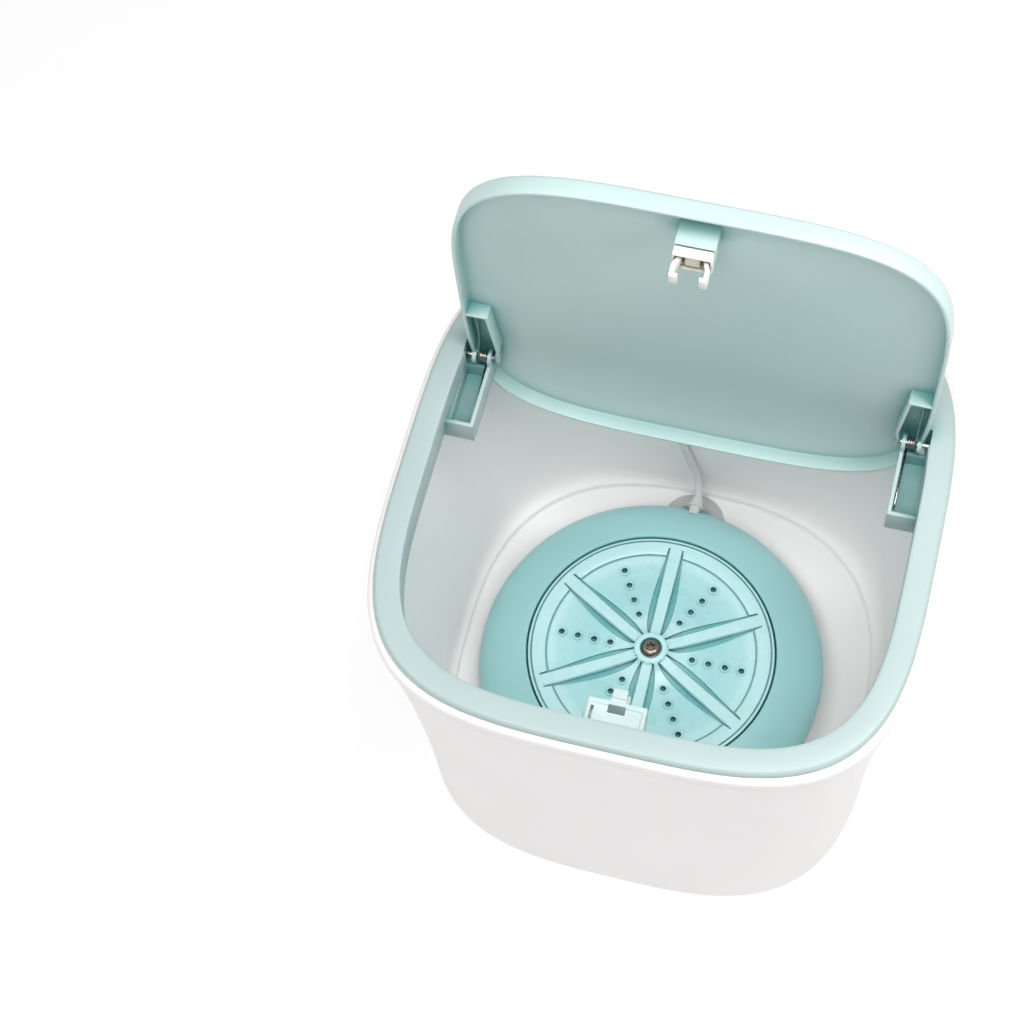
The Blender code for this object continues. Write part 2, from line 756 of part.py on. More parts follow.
def make_drive():
    """What turns with the impeller, and the seal and bushing that it turns in."""
    screw = (
        (0, 39.9),
        (2.2, 39.6),
        (3.6, 38.8),
        (4.1, 37.9),
        (4.1, 37.5),
        (1.4, 37.5),
        (1.4, 34.0),
        (0, 34.0),
    )
    head = turned("impeller_screw", screw, STEEL, parent=IMPELLER_AXIS, steps=16, looped=False)
    cut(head, rod_mesh("socket", 1.2 * MM, (0, 0, 38.3), (0, 0, 41), 6))
    shaft = ((0, 33.1), (2.0, 33.1), (2.0, 20.4), (0, 20.4))
    turned("motor_shaft", shaft, STEEL, parent=IMPELLER_AXIS, steps=16, looped=False)
    rotor = ((2.3, 26.0), (15.5, 26.0), (15.5, 21.6), (13.5, 21.6), (13.5, 24.6), (2.3, 24.6))
    turned("motor_rotor", rotor, STEEL, parent=IMPELLER_AXIS, steps=24)
    bushing = ((2.2, 30.0), (3.7, 30.0), (3.7, 28.1), (2.2, 28.1))
    turned("shaft_bushing", bushing, BRASS, at_puck(), steps=20)
    seal = ((2.15, 31.1), (3.7, 31.1), (3.7, 30.3), (2.15, 30.3))
    turned("shaft_seal", seal, RUBBER, at_puck(), steps=20)


def make_motor():
    shell = (
        (3.4, 27.8),
        (16.6, 27.8),
        (17.2, 27.2),
        (17.2, 18.6),
        (2.8, 18.6),
        (2.8, 19.8),
        (16.0, 19.8),
        (16.0, 26.8),
        (3.4, 26.8),
    )
    turned("motor_can", shell, STEEL, at_puck(), steps=24)
    stator = ((3.4, 24.2), (12.8, 24.2), (12.8, 20.1), (3.4, 20.1))
    turned("motor_stator", stator, COPPER, at_puck(), steps=24)
    cradle = ((17.6, 23.4), (20.0, 23.4), (20.0, 19.6), (23.5, 19.6), (23.5, 18.3), (17.6, 18.3))
    turned("motor_cradle", cradle, TEAL_DARK, at_puck(), steps=24)
    board = add_object("circuit_board", box_mesh("board", (-34, -8, 20.0), (-25, 8, 21.2)), BOARD)
    board.location = at_puck()
    can = ((0, 26.5), (2.6, 26.5), (2.6, 21.5), (0, 21.5))
    place = (PUCK_X - 29 * MM, PUCK_Y + 4 * MM, 0)
    turned("capacitor", can, STEEL, place, steps=16, looped=False)
    peg = ((0, 19.7), (1.5, 19.7), (1.5, 18.3), (0, 18.3))
    for name, y in (("front", -6), ("rear", 6)):
        place = (PUCK_X - 32 * MM, PUCK_Y + y * MM, 0)
        turned(f"board_post_{name}", peg, TEAL_DARK, place, steps=12, looped=False)


def make_base_fasteners():
    gasket = ((67.0, 23.4), (70.6, 23.4), (70.6, 22.3), (67.0, 22.3))
    turned("base_gasket", gasket, RUBBER, at_puck(), steps=32)
    profile = ((0, 28.4), (1.0, 28.4), (1.1, 20.1), (2.8, 20.1), (2.8, 19.3), (2.0, 18.8), (0, 18.8))
    for name, angle in zip(("rear", "left", "right"), SCREW_ANGLES):
        x, y = on_circle(SCREW_CIRCLE, angle)
        place = (PUCK_X + x, PUCK_Y + y, 0)
        turned(f"base_screw_{name}", profile, STEEL, place, steps=14, looped=False)


def make_gland():
    """The bush in the puck's rear wall, with the nose that the cable comes out of."""
    profile = (
        (1.9, 79.8),
        (2.4, 79.8),
        (3.0, 75.9),
        (3.6, 75.7),
        (3.6, 74.9),
        (2.5, 74.7),
        (2.5, 71.0),
        (1.9, 71.0),
    )
    gland = turned("cable_gland", profile, CABLE, steps=16)
    gland.rotation_euler = (0, math.radians(90), REAR_ANGLE)
    gland.location = (PUCK_X, PUCK_Y, GLAND_HEIGHT)


# ---------------------------------------------------------------- cable


def make_cable():
    route = [Vector(p) * MM for p in CABLE_ROUTE]
    path = smooth_path(route, 2.2 * CABLE_DIAMETER)
    wire("usb_cable", path, CABLE_DIAMETER, CABLE, resolution=2)
    tail = smooth_path([Vector(p) * MM for p in TAIL_ROUTE], 1.6 * CABLE_DIAMETER)
    wire("usb_cable_tail", tail, CABLE_DIAMETER, CABLE, resolution=2)
    half = COIL_LAYERS * CABLE_DIAMETER / 2 / MM
    mean = COIL_MEAN_RADIUS / MM
    outer, inner, top = mean + half, mean - half, 2 * half
    ring = ((inner, top), (outer, top), (outer, 0), (inner, 0))
    turned("usb_cable_coil", ring, CABLE, (*COIL_CENTRE, 0), steps=40)


def make_plug():
    """The plug lies flat on the floor beside the coil."""
    x, y, z = TAIL_ROUTE[-1]
    moulding = box_mesh("body", (x + 0.3, y - 7.8, z - 4.3), (x + 24, y + 7.8, z + 3.7))
    body = add_object("usb_plug_body", moulding, CABLE)
    bevel = body.modifiers.new("round", "BEVEL")
    bevel.width = 1.2 * MM
    bevel.segments = 2
    shell = box_mesh("shell", (x + 24.3, y - 6, z - 2.55), (x + 36.0, y + 6, z + 1.95))
    metal = add_object("usb_plug_shell", shell, STEEL)
    cut(metal, box_mesh("mouth", (x + 25.5, y - 5.6, z - 0.2), (x + 37.0, y + 5.6, z + 1.55)))


# ---------------------------------------------------------------- assembly


clear_scene()
PARTS = make_collection("portable_mini_washer")
CUTTERS = make_collection("cutters", helper=True)

WHITE = make_material("white_bucket", (0.93, 0.94, 0.94), 0.25)
MINT = make_material("mint_ring", (0.55, 0.76, 0.74), 0.32)
MINT_LID = make_material("mint_lid", (0.55, 0.74, 0.73), 0.34)
TEAL = make_material("teal_housing", (0.42, 0.71, 0.73), 0.35)
TEAL_PALE = make_material("teal_impeller", (0.5, 0.78, 0.8), 0.3)
TEAL_DARK = make_material("teal_base", (0.36, 0.62, 0.64), 0.4)
CREAM = make_material("cream_latch", (0.9, 0.89, 0.86), 0.4)
BEIGE = make_material("beige_plunger", (0.78, 0.76, 0.71), 0.45)
FROSTED = make_material("frosted_striker", (0.84, 0.9, 0.89), 0.35)
CLEAR = make_material("clear_cup", (0.72, 0.74, 0.74), 0.2, alpha=0.6)
RUBBER = make_material("dark_rubber", (0.12, 0.12, 0.13), 0.8)
STEEL = make_material("steel", (0.62, 0.62, 0.61), 0.25, metallic=1.0)
BRASS = make_material("brass", (0.78, 0.6, 0.3), 0.35, metallic=1.0)
COPPER = make_material("copper_winding", (0.7, 0.36, 0.2), 0.4, metallic=1.0)
BOARD = make_material("circuit_board", (0.06, 0.28, 0.16), 0.5)
CABLE = make_material("cable_sheath", (0.78, 0.78, 0.78), 0.45)

LID_AXIS = empty("lid_hinge_axis", (0, HINGE_Y, RING_TOP - HINGE_DROP), (-LID_OPEN, 0, 0))
IMPELLER_AXIS = empty("impeller_axis", (PUCK_X, PUCK_Y, 0))

make_bucket()
make_feet()
make_grommet()
make_ring()
make_striker()
make_lid()
make_latch_housing()
make_latch_slider()
make_claws()
make_latch_spring()
make_hinge(-1, "left")
make_hinge(1, "right")
make_housing()
make_base()
make_cups()
make_impeller()
make_drive()
make_motor()
make_base_fasteners()
make_gland()
make_cable()
make_plug()
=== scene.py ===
"""Looks for the portable mini washer: fine surfaces, materials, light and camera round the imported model.

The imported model's own frame: +Z up, the front (the latch side) is -Y, the lid open at rest. Shapes are
written in millimetres and turned into metres where a mesh is finished. The camera, the lights, the floor
and the distances in materials are in metres. Heights on the ring, the lid, the latch and the striker
start from the ring's flat top, so most of them are negative.
"""

import json
import math

import bmesh
import bpy
from mathutils import Matrix, Vector


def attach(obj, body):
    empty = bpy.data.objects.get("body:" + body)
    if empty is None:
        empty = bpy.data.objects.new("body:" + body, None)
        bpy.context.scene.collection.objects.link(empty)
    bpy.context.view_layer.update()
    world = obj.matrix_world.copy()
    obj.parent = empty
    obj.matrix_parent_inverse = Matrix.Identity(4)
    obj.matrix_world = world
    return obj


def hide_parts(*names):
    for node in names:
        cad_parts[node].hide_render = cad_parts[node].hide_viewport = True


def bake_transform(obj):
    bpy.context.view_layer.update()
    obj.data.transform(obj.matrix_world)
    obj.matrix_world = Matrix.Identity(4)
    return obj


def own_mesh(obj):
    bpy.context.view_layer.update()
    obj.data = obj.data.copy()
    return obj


MM = 0.001

# Camera: its place in metres, its angles in radians and its lens in millimetres.
CAMERA_PLACE = (0.07299, -0.34829, 0.91473)
CAMERA_AZIMUTH = 0.367575
CAMERA_ELEVATION = 1.118396
CAMERA_ROLL = -0.122040
CAMERA_LENS = 77.36
CAMERA_SENSOR = 36.0

# Bucket and ring, rounded squares in plan: a superellipse with a half width and a power.
RING_TOP = 188.5
RING_POWER = 3.65
RING_INNER_POWER = 3.93
BUCKET_TOP_HALF = 102.2
BUCKET_WAIST_PULL = 92.5
BUCKET_WAIST_HEIGHT = 88.3
BUCKET_FOOT_HALF = 94.2
BUCKET_FOOT_HEIGHT = 6.3
BUCKET_FOOT_ROUND = 12.0
BUCKET_FOOT_POWER = 3.2
BUCKET_WALL = 2.4
BUCKET_BASE = 1.2
BUCKET_FLOOR = 14.5
OUTLINE_STEPS = 176

# Lid, latch and hinge.
LID_POWER = 4.06
LID_SKIRT = 7.5
HINGE_Y = 46.0
HINGE_DROP = 6.8
LID_OPEN = math.radians(87.0)
PIN_BORE = 1.3
EAR_RADIUS = 3.4
LATCH_Y = -72.5
CLAW_X = 4.9
CLAW_DROP = 13.2

# Turbine.
PUCK = (-5.6, 0.6)
IMPELLER_RADIUS = 53.1
RIB_COUNT = 6
RIB_FIRST = math.radians(30.0)
RIB_START = 6.2
RIB_LENGTH = 44.2
RIB_STEEP_LENGTH = 8.0
HOLE_RADIUS = 1.35
HOLE_RINGS = (18.0, 25.2, 32.4, 39.6)
HOLE_HEIGHTS = (33.75, 33.4, 33.46, 33.8)
LEAF_START = 7.2
LEAF_END = 48.5
LEAF_WIDTH = 2.7
RIB_FOOT = 0.4
CUP_ANGLES = {"right": 30.0, "left": 150.0, "front": 270.0}
CUP_CIRCLE = 58.0
REAR_ANGLE = 88.0
REAR_CUP_CIRCLE = 73.0
SCREW_ANGLES = (90.0, 210.0, 330.0)
SCREW_CIRCLE = 60.0
GLAND_HEIGHT = 26.3
GLAND_BORE = 2.8
TURN_STEPS = 128

# Cable: out of the turbine, up the rear wall, through the grommet, down outside and into its coil.
CABLE_DIAMETER = 3.5
GROMMET = (-20.0, 153.5)
GROMMET_HOLE = 4.3
COIL_CENTRE = (-36.75, 150.0)
COIL_RADII = (22.75, 19.25, 15.75)
COIL_LEVELS = (1.75, 5.25, 8.75)
COIL_ENTRY = (-14.0, 143.0, 1.8)
COIL_EXIT = (-34.5, 134.2, 12.75)
CABLE_ROUTE = (
    (-2.8, 80.7, 26.3),
    (-3.0, 83.2, 27.0),
    (-3.8, 86.2, 30.0),
    (-5.2, 88.0, 35.5),
    (-9.0, 89.0, 46.0),
    (-13.0, 89.4, 62.0),
    (-16.5, 90.1, 84.0),
    (-18.8, 90.4, 106.0),
    (-19.7, 89.6, 124.0),
    (-20.0, 87.6, 137.0),
    (-20.0, 87.4, 144.0),
    (-20.0, 89.4, 150.0),
    (-20.0, 93.2, 153.2),
    (-20.0, 97.0, 153.6),
    (-20.0, 101.0, 153.2),
    (-20.0, 105.4, 151.4),
    (-20.0, 108.6, 147.2),
    (-20.0, 110.0, 139.0),
    (-19.6, 110.4, 112.0),
    (-18.8, 110.4, 76.0),
    (-17.6, 110.4, 40.0),
    (-16.6, 111.0, 18.0),
    (-15.8, 113.2, 8.0),
    (-15.0, 118.6, 2.6),
    (-14.3, 127.0, 1.9),
    (-14.0, 136.2, 1.9),
)
TAIL_ROUTE = (
    (-27.5, 134.1, 13.0),
    (-21.5, 134.0, 13.0),
    (-15.5, 134.0, 12.4),
    (-10.0, 134.0, 9.6),
    (-4.5, 134.0, 6.2),
    (1.5, 134.0, 4.6),
    (8.5, 134.0, 4.3),
)


# ---------------------------------------------------------------- camera


def make_camera():
    """The camera looks down into the bucket from the front right, tilted a little to the left."""
    back = Vector(
        (
            math.sin(CAMERA_AZIMUTH) * math.cos(CAMERA_ELEVATION),
            -math.cos(CAMERA_AZIMUTH) * math.cos(CAMERA_ELEVATION),
            math.sin(CAMERA_ELEVATION),
        )
    )
    level = Vector((math.cos(CAMERA_AZIMUTH), math.sin(CAMERA_AZIMUTH), 0))
    rise = back.cross(level)
    across = level * math.cos(CAMERA_ROLL) + rise * math.sin(CAMERA_ROLL)
    upward = rise * math.cos(CAMERA_ROLL) - level * math.sin(CAMERA_ROLL)
    data = bpy.data.cameras.new("camera")
    data.lens = CAMERA_LENS
    data.sensor_width = CAMERA_SENSOR
    data.clip_start = 0.01
    camera = bpy.data.objects.new("camera", data)
    bpy.context.scene.collection.objects.link(camera)
    turn = Matrix((across, upward, back)).transposed().to_4x4()
    camera.matrix_world = Matrix.Translation(CAMERA_PLACE) @ turn
    bpy.context.scene.camera = camera


# ---------------------------------------------------------------- materials


def new_material(name):
    """A material with a Principled shader, and the coordinates that its patterns are laid out in."""
    material = bpy.data.materials.new(name)
    material.use_nodes = True
    tree = material.node_tree
    place = tree.nodes.new("ShaderNodeTexCoord")
    return material, tree.nodes, tree.links, tree.nodes["Principled BSDF"], place


def noise_node(nodes, links, place, scale, detail):
    noise = nodes.new("ShaderNodeTexNoise")
    noise.inputs["Scale"].default_value = scale
    noise.inputs["Detail"].default_value = detail
    links.new(place.outputs["Object"], noise.inputs["Vector"])
    return noise


def ramp_node(nodes, links, source, low, high, start=0.3, end=0.7):
    ramp = nodes.new("ShaderNodeValToRGB")
    ramp.color_ramp.elements[0].position = start
    ramp.color_ramp.elements[0].color = (*low, 1)
    ramp.color_ramp.elements[1].position = end
    ramp.color_ramp.elements[1].color = (*high, 1)
    links.new(source, ramp.inputs["Fac"])
    return ramp


def range_node(nodes, links, source, low, high):
    spread = nodes.new("ShaderNodeMapRange")
    spread.inputs["From Min"].default_value = 0.3
    spread.inputs["From Max"].default_value = 0.7
    spread.inputs["To Min"].default_value = low
    spread.inputs["To Max"].default_value = high
    links.new(source, spread.inputs["Value"])
    return spread


def add_bump(nodes, links, shader, source, distance, strength=0.4):
    bump = nodes.new("ShaderNodeBump")
    bump.inputs["Strength"].default_value = strength
    bump.inputs["Distance"].default_value = distance
    links.new(source, bump.inputs["Height"])
    links.new(bump.outputs["Normal"], shader.inputs["Normal"])


def paint_crease_shade(nodes, links, colour, crease_shade, reach):
    """Paints shade into the colour where the surface is shut in by its neighbours, in grooves, recesses and
    gaps.
    """
    shut_in = nodes.new("ShaderNodeAmbientOcclusion")
    shut_in.samples = 8
    shut_in.inputs["Distance"].default_value = reach
    amount = nodes.new("ShaderNodeMapRange")
    amount.inputs["From Min"].default_value = 0.35
    amount.inputs["From Max"].default_value = 0.95
    links.new(shut_in.outputs["AO"], amount.inputs["Value"])
    blend = nodes.new("ShaderNodeMix")
    blend.data_type = "RGBA"
    blend.inputs["A"].default_value = (*crease_shade, 1)
    links.new(amount.outputs["Result"], blend.inputs["Factor"])
    links.new(colour, blend.inputs["B"])
    return blend.outputs["Result"]


def paint_shade_by_height(nodes, links, place, colour, stops):
    """Painted shade by height: multiplies the colour by one that runs through (height in metres, colour)
    stops.
    """
    axes = nodes.new("ShaderNodeSeparateXYZ")
    links.new(place.outputs["Object"], axes.inputs["Vector"])
    share = nodes.new("ShaderNodeMapRange")
    low, high = stops[0][0], stops[-1][0]
    share.inputs["From Min"].default_value = low
    share.inputs["From Max"].default_value = high
    links.new(axes.outputs["Z"], share.inputs["Value"])
    ramp = ramp_node(nodes, links, share.outputs["Result"], stops[0][1], stops[-1][1], 0.0, 1.0)
    for height, tint in stops[1:-1]:
        ramp.color_ramp.elements.new((height - low) / (high - low)).color = (*tint, 1)
    blend = nodes.new("ShaderNodeMix")
    blend.data_type = "RGBA"
    blend.blend_type = "MULTIPLY"
    blend.inputs["Factor"].default_value = 1.0
    links.new(colour, blend.inputs["A"])
    links.new(ramp.outputs["Color"], blend.inputs["B"])
    return blend.outputs["Result"]


def moulded(name, colour, roughness, shift=0.05, crease_shade=None, reach=0.004, stops=None):
    """Moulded plastic: slow colour drift from the melt's flow, uneven gloss and a fine tool grain. Optional
    painted shade by height, and optional painted shade in creases.
    """
    material, nodes, links, shader, place = new_material(name)
    flow = noise_node(nodes, links, place, 14.0, 3.0)
    pale = tuple(min(1.0, c * (1 + shift)) for c in colour)
    deep = tuple(c * (1 - shift) for c in colour)
    surface = ramp_node(nodes, links, flow.outputs["Fac"], deep, pale).outputs["Color"]
    if stops:
        surface = paint_shade_by_height(nodes, links, place, surface, stops)
    if crease_shade:
        surface = paint_crease_shade(nodes, links, surface, crease_shade, reach)
    links.new(surface, shader.inputs["Base Color"])
    haze = noise_node(nodes, links, place, 60.0, 4.0)
    gloss = range_node(nodes, links, haze.outputs["Fac"], roughness * 0.85, roughness * 1.15)
    links.new(gloss.outputs["Result"], shader.inputs["Roughness"])
    fine = noise_node(nodes, links, place, 420.0, 2.0)
    add_bump(nodes, links, shader, fine.outputs["Fac"], 0.00001)
    shader.inputs["IOR"].default_value = 1.49
    return material


def translucent(name, colour, roughness, alpha):
    """Milky, see-through plastic or PVC, with faint clouding."""
    material, nodes, links, shader, place = new_material(name)
    cloud = noise_node(nodes, links, place, 90.0, 3.0)
    pale = tuple(min(1.0, c * 1.06) for c in colour)
    deep = tuple(c * 0.94 for c in colour)
    surface = ramp_node(nodes, links, cloud.outputs["Fac"], deep, pale).outputs["Color"]
    links.new(surface, shader.inputs["Base Color"])
    gloss = range_node(nodes, links, cloud.outputs["Fac"], roughness * 0.8, roughness * 1.2)
    links.new(gloss.outputs["Result"], shader.inputs["Roughness"])
    fine = noise_node(nodes, links, place, 900.0, 2.0)
    add_bump(nodes, links, shader, fine.outputs["Fac"], 0.00002)
    shader.inputs["Alpha"].default_value = alpha
    return material


def metal(name, colour, roughness, stretch=(1, 1, 24), crease_shade=None, reach=0.002):
    """Bare metal with fine drawn lines along one axis, with optional painted shade in creases."""
    material, nodes, links, shader, place = new_material(name)
    mapping = nodes.new("ShaderNodeMapping")
    mapping.inputs["Scale"].default_value = stretch
    links.new(place.outputs["Object"], mapping.inputs["Vector"])
    lines = nodes.new("ShaderNodeTexNoise")
    lines.inputs["Scale"].default_value = 300.0
    lines.inputs["Detail"].default_value = 4.0
    links.new(mapping.outputs["Vector"], lines.inputs["Vector"])
    pale = tuple(min(1.0, c * 1.12) for c in colour)
    deep = tuple(c * 0.84 for c in colour)
    surface = ramp_node(nodes, links, lines.outputs["Fac"], deep, pale).outputs["Color"]
    if crease_shade:
        surface = paint_crease_shade(nodes, links, surface, crease_shade, reach)
    links.new(surface, shader.inputs["Base Color"])
    gloss = range_node(nodes, links, lines.outputs["Fac"], roughness * 0.75, roughness * 1.3)
    links.new(gloss.outputs["Result"], shader.inputs["Roughness"])
    add_bump(nodes, links, shader, lines.outputs["Fac"], 0.00001, 0.25)
    shader.inputs["Metallic"].default_value = 1.0
    return material


def make_materials():
    # The crease colours below are painted shade: they darken grooves, recesses, troughs and gaps.
    mint_crease_shade = (0.1, 0.33, 0.32)
    teal_crease_shade = (0.025, 0.24, 0.25)
    # Painted shade on the impeller: darker, deeper teal towards the floors of the hollows, untouched on the
    # ribs, hub and outer band.
    impeller_height_shade = (
        (0.0322, (0.3, 0.62, 0.63)),
        (0.0331, (0.6, 0.8, 0.81)),
        (0.0335, (0.8, 0.9, 0.91)),
        (0.0338, (0.84, 0.92, 0.93)),
        (0.0341, (1.0, 1.0, 1.0)),
    )
    return {
        "white_bucket": moulded("white_bucket", (0.925, 0.905, 0.9), 0.36, 0.008),
        "mint_ring": moulded("mint_ring", (0.44, 0.55, 0.54), 0.36, 0.02, mint_crease_shade, 0.008),
        # The lid and the ring are one plastic; the lid's paler mint is painted light.
        "mint_lid": moulded("mint_lid", (0.54, 0.7, 0.675), 0.34, 0.02, mint_crease_shade, 0.01),
        "frosted_striker": translucent("frosted_striker", (0.68, 0.82, 0.81), 0.35, 0.8),
        "dark_rubber": moulded("dark_rubber", (0.012, 0.012, 0.014), 0.75, 0.2),
        "steel": metal("steel", (0.5, 0.48, 0.45), 0.26),
        # Its crease colour is painted shade in the socket and the groove round the head.
        "screw_steel": metal("screw_steel", (0.34, 0.28, 0.23), 0.32, crease_shade=(0.02, 0.012, 0.01)),
        # The crease colours of the latch, plunger and housing are painted shade in their gaps and recesses.
        "cream_latch": moulded("cream_latch", (0.84, 0.83, 0.79), 0.42, 0.015, (0.32, 0.28, 0.2), 0.002),
        "beige_plunger": moulded("beige_plunger", (0.72, 0.69, 0.6), 0.45, 0.03, (0.3, 0.26, 0.18), 0.002),
        "teal_housing": moulded("teal_housing", (0.36, 0.65, 0.66), 0.38, 0.02, (0.12, 0.4, 0.41), 0.003),
        "teal_impeller": moulded(
            "teal_impeller", (0.56, 0.84, 0.85), 0.28, 0.015, teal_crease_shade, 0.003, stops=impeller_height_shade
        ),
        "teal_base": moulded("teal_base", (0.16, 0.37, 0.39), 0.48, 0.04),
        "clear_cup": translucent("clear_cup", (0.66, 0.67, 0.67), 0.18, 0.65),
        "brass": metal("brass", (0.6, 0.42, 0.16), 0.34, (20, 20, 1)),
        "copper_winding": metal("copper_winding", (0.55, 0.2, 0.09), 0.38, (1, 1, 60)),
        "circuit_board": moulded("circuit_board", (0.01, 0.12, 0.05), 0.4, 0.12),
        "cable_sheath": moulded("cable_sheath", (0.66, 0.66, 0.66), 0.42, 0.02),
    }


# ---------------------------------------------------------------- mesh helpers


def outline(half, power):
    """Points in millimetres round a superellipse of the given half width and power."""
    points = []
    for i in range(OUTLINE_STEPS):
        angle = 2 * math.pi * i / OUTLINE_STEPS
        c, s = math.cos(angle), math.sin(angle)
        x = math.copysign(abs(c) ** (2 / power), c)
        y = math.copysign(abs(s) ** (2 / power), s)
        points.append((half * x, half * y))
    return points


def finished(bm):
    """The bmesh, built in millimetres, as a mesh in metres with its faces pointing out."""
    bmesh.ops.recalc_face_normals(bm, faces=bm.faces)
    bmesh.ops.scale(bm, vec=(MM, MM, MM), verts=bm.verts)
    mesh = bpy.data.meshes.new("shape")
    bm.to_mesh(mesh)
    bm.free()
    return mesh


def lofted(sections, looped=False):
    """A skin through rounded squares (half width, height, power), capped, or looped back to the first."""
    bm = bmesh.new()
    rings = []
    for half, height, power in sections:
        rings.append([bm.verts.new((x, y, height)) for x, y in outline(half, power)])
    pairs = list(zip(rings, rings[1:]))
    if looped:
        pairs.append((rings[-1], rings[0]))
    else:
        bm.faces.new(rings[0])
        bm.faces.new(rings[-1])
    for low, high in pairs:
        for i in range(OUTLINE_STEPS):
            j = (i + 1) % OUTLINE_STEPS
            bm.faces.new((low[i], low[j], high[j], high[i]))
    return finished(bm)


def box(low, high, edge=0.0):
    """A box between two corners, with its edges rounded by the given radius."""
    bm = bmesh.new()
    bmesh.ops.create_cube(bm, size=1.0)
    bmesh.ops.scale(bm, vec=[b - a for a, b in zip(low, high)], verts=bm.verts)
    bmesh.ops.translate(bm, vec=[(a + b) / 2 for a, b in zip(low, high)], verts=bm.verts)
    if edge:
        bmesh.ops.bevel(
            bm, geom=bm.edges[:], offset=edge, segments=3, profile=0.5, affect="EDGES", clamp_overlap=True
        )
    return finished(bm)


def side_box(side, xs, ys, zs, edge=0.0):
    """A box on the right (side 1), or mirrored to the left (side -1)."""
    low, high = sorted((side * xs[0], side * xs[1]))
    return box((low, ys[0], zs[0]), (high, ys[1], zs[1]), edge)


def rod(radius, start, end, steps=40, end_radius=None):
    """A cylinder between two points, or a cone where its far radius differs."""
    start, end = Vector(start), Vector(end)
    along = end - start
    bm = bmesh.new()
    far = radius if end_radius is None else end_radius
    bmesh.ops.create_cone(bm, cap_ends=True, segments=steps, radius1=radius, radius2=far, depth=along.length)
    turn = along.to_track_quat("Z", "Y").to_matrix().to_4x4()
    bmesh.ops.transform(bm, matrix=Matrix.Translation((start + end) / 2) @ turn, verts=bm.verts)
    return finished(bm)


def turned(profile, steps=TURN_STEPS):
    """A closed profile of (radius, height), turned about Z. Points on the axis become one vertex."""
    bm = bmesh.new()
    rings = []
    for radius, height in profile:
        if radius < 1e-6:
            rings.append([bm.verts.new((0, 0, height))])
            continue
        ring = []
        for i in range(steps):
            angle = 2 * math.pi * i / steps
            ring.append(bm.verts.new((radius * math.cos(angle), radius * math.sin(angle), height)))
        rings.append(ring)
    for a, b in zip(rings, rings[1:] + rings[:1]):
        if len(a) == len(b) == 1:
            continue
        for i in range(steps):
            j = (i + 1) % steps
            if len(a) == 1:
                bm.faces.new((a[0], b[j], b[i]))
            elif len(b) == 1:
                bm.faces.new((a[i], a[j], b[0]))
            else:
                bm.faces.new((a[i], a[j], b[j], b[i]))
    return finished(bm)


def plate(points, low, high, edge=0.0, upright=False):
    """A flat outline with thickness. Upright, its second number is a height and the thickness is along Y."""
    bm = bmesh.new()
    if upright:
        base = [bm.verts.new((x, low, z)) for x, z in points]
        lift = (0, high - low, 0)
    else:
        base = [bm.verts.new((x, y, low)) for x, y in points]
        lift = (0, 0, high - low)
    made = bmesh.ops.extrude_face_region(bm, geom=[bm.faces.new(base)])
    top = [v for v in made["geom"] if isinstance(v, bmesh.types.BMVert)]
    bmesh.ops.translate(bm, vec=lift, verts=top)
    if edge:
        bmesh.ops.bevel(
            bm, geom=bm.edges[:], offset=edge, segments=2, profile=0.5, affect="EDGES", clamp_overlap=True
        )
    return finished(bm)


def gathered(pieces):
    """Separate meshes, each moved by its matrix, as one mesh."""
    bm = bmesh.new()
    for mesh, matrix in pieces:
        mesh.transform(matrix)
        bm.from_mesh(mesh)
        bpy.data.meshes.remove(mesh)
    whole = bpy.data.meshes.new("gathered")
    bm.to_mesh(whole)
    bm.free()
    return whole


class Builder:
    """A piece under construction: meshes are joined to it or cut from it, and then it is finished once."""

    def __init__(self, name, mesh):
        self.obj = bpy.data.objects.new(name, mesh)
        bpy.context.scene.collection.objects.link(self.obj)
        self.tools = []

    def add(self, mesh, operation):
        tool = bpy.data.objects.new(f"{self.obj.name}_tool", mesh)
        bpy.context.scene.collection.objects.link(tool)
        modifier = self.obj.modifiers.new(operation.lower(), "BOOLEAN")
        modifier.operation = operation
        modifier.solver = "EXACT"
        modifier.object = tool
        self.tools.append(tool)

    def join(self, mesh):
        self.add(mesh, "UNION")

    def cut(self, mesh):
        self.add(mesh, "DIFFERENCE")

    def applied(self):
        """The mesh with every join and cut made."""
        bpy.context.view_layer.update()
        graph = bpy.context.evaluated_depsgraph_get()
        mesh = bpy.data.meshes.new_from_object(self.obj.evaluated_get(graph))
        self.obj.modifiers.clear()
        self.obj.data = mesh
        for tool in self.tools:
            bpy.data.objects.remove(tool)
        self.tools = []
        return mesh

    def softened(self, edge):
        """The mesh alone, its sharp edges rounded. The object that held it is removed."""
        bm = bmesh.new()
        bm.from_mesh(self.applied())
        bpy.data.objects.remove(self.obj)
        bmesh.ops.dissolve_limit(bm, angle_limit=math.radians(1), verts=bm.verts, edges=bm.edges)
        hard = [e for e in bm.edges if e.is_manifold and e.calc_face_angle() > math.radians(50)]
        bmesh.ops.bevel(
            bm, geom=hard, offset=edge * MM, segments=2, profile=0.5, affect="EDGES", clamp_overlap=True
        )
        mesh = bpy.data.meshes.new("softened")
        bm.to_mesh(mesh)
        bm.free()
        return mesh

    def finish(self, material, body, *nodes, slot=None, sharp=32.0, place=None):
        """Applies the joins and cuts, sets the surface, and hands the piece to its body."""
        mesh = self.applied()
        if place is not None:
            mesh.transform(place)
        mesh.materials.clear()
        mesh.materials.append(MATERIALS[material])
        mesh.shade_smooth()
        mesh.set_sharp_from_angle(angle=math.radians(sharp))
        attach(self.obj, body)
        if nodes:
            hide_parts(*nodes)
        return self.obj


def at_ring():
    return Matrix.Translation((0, 0, RING_TOP * MM))


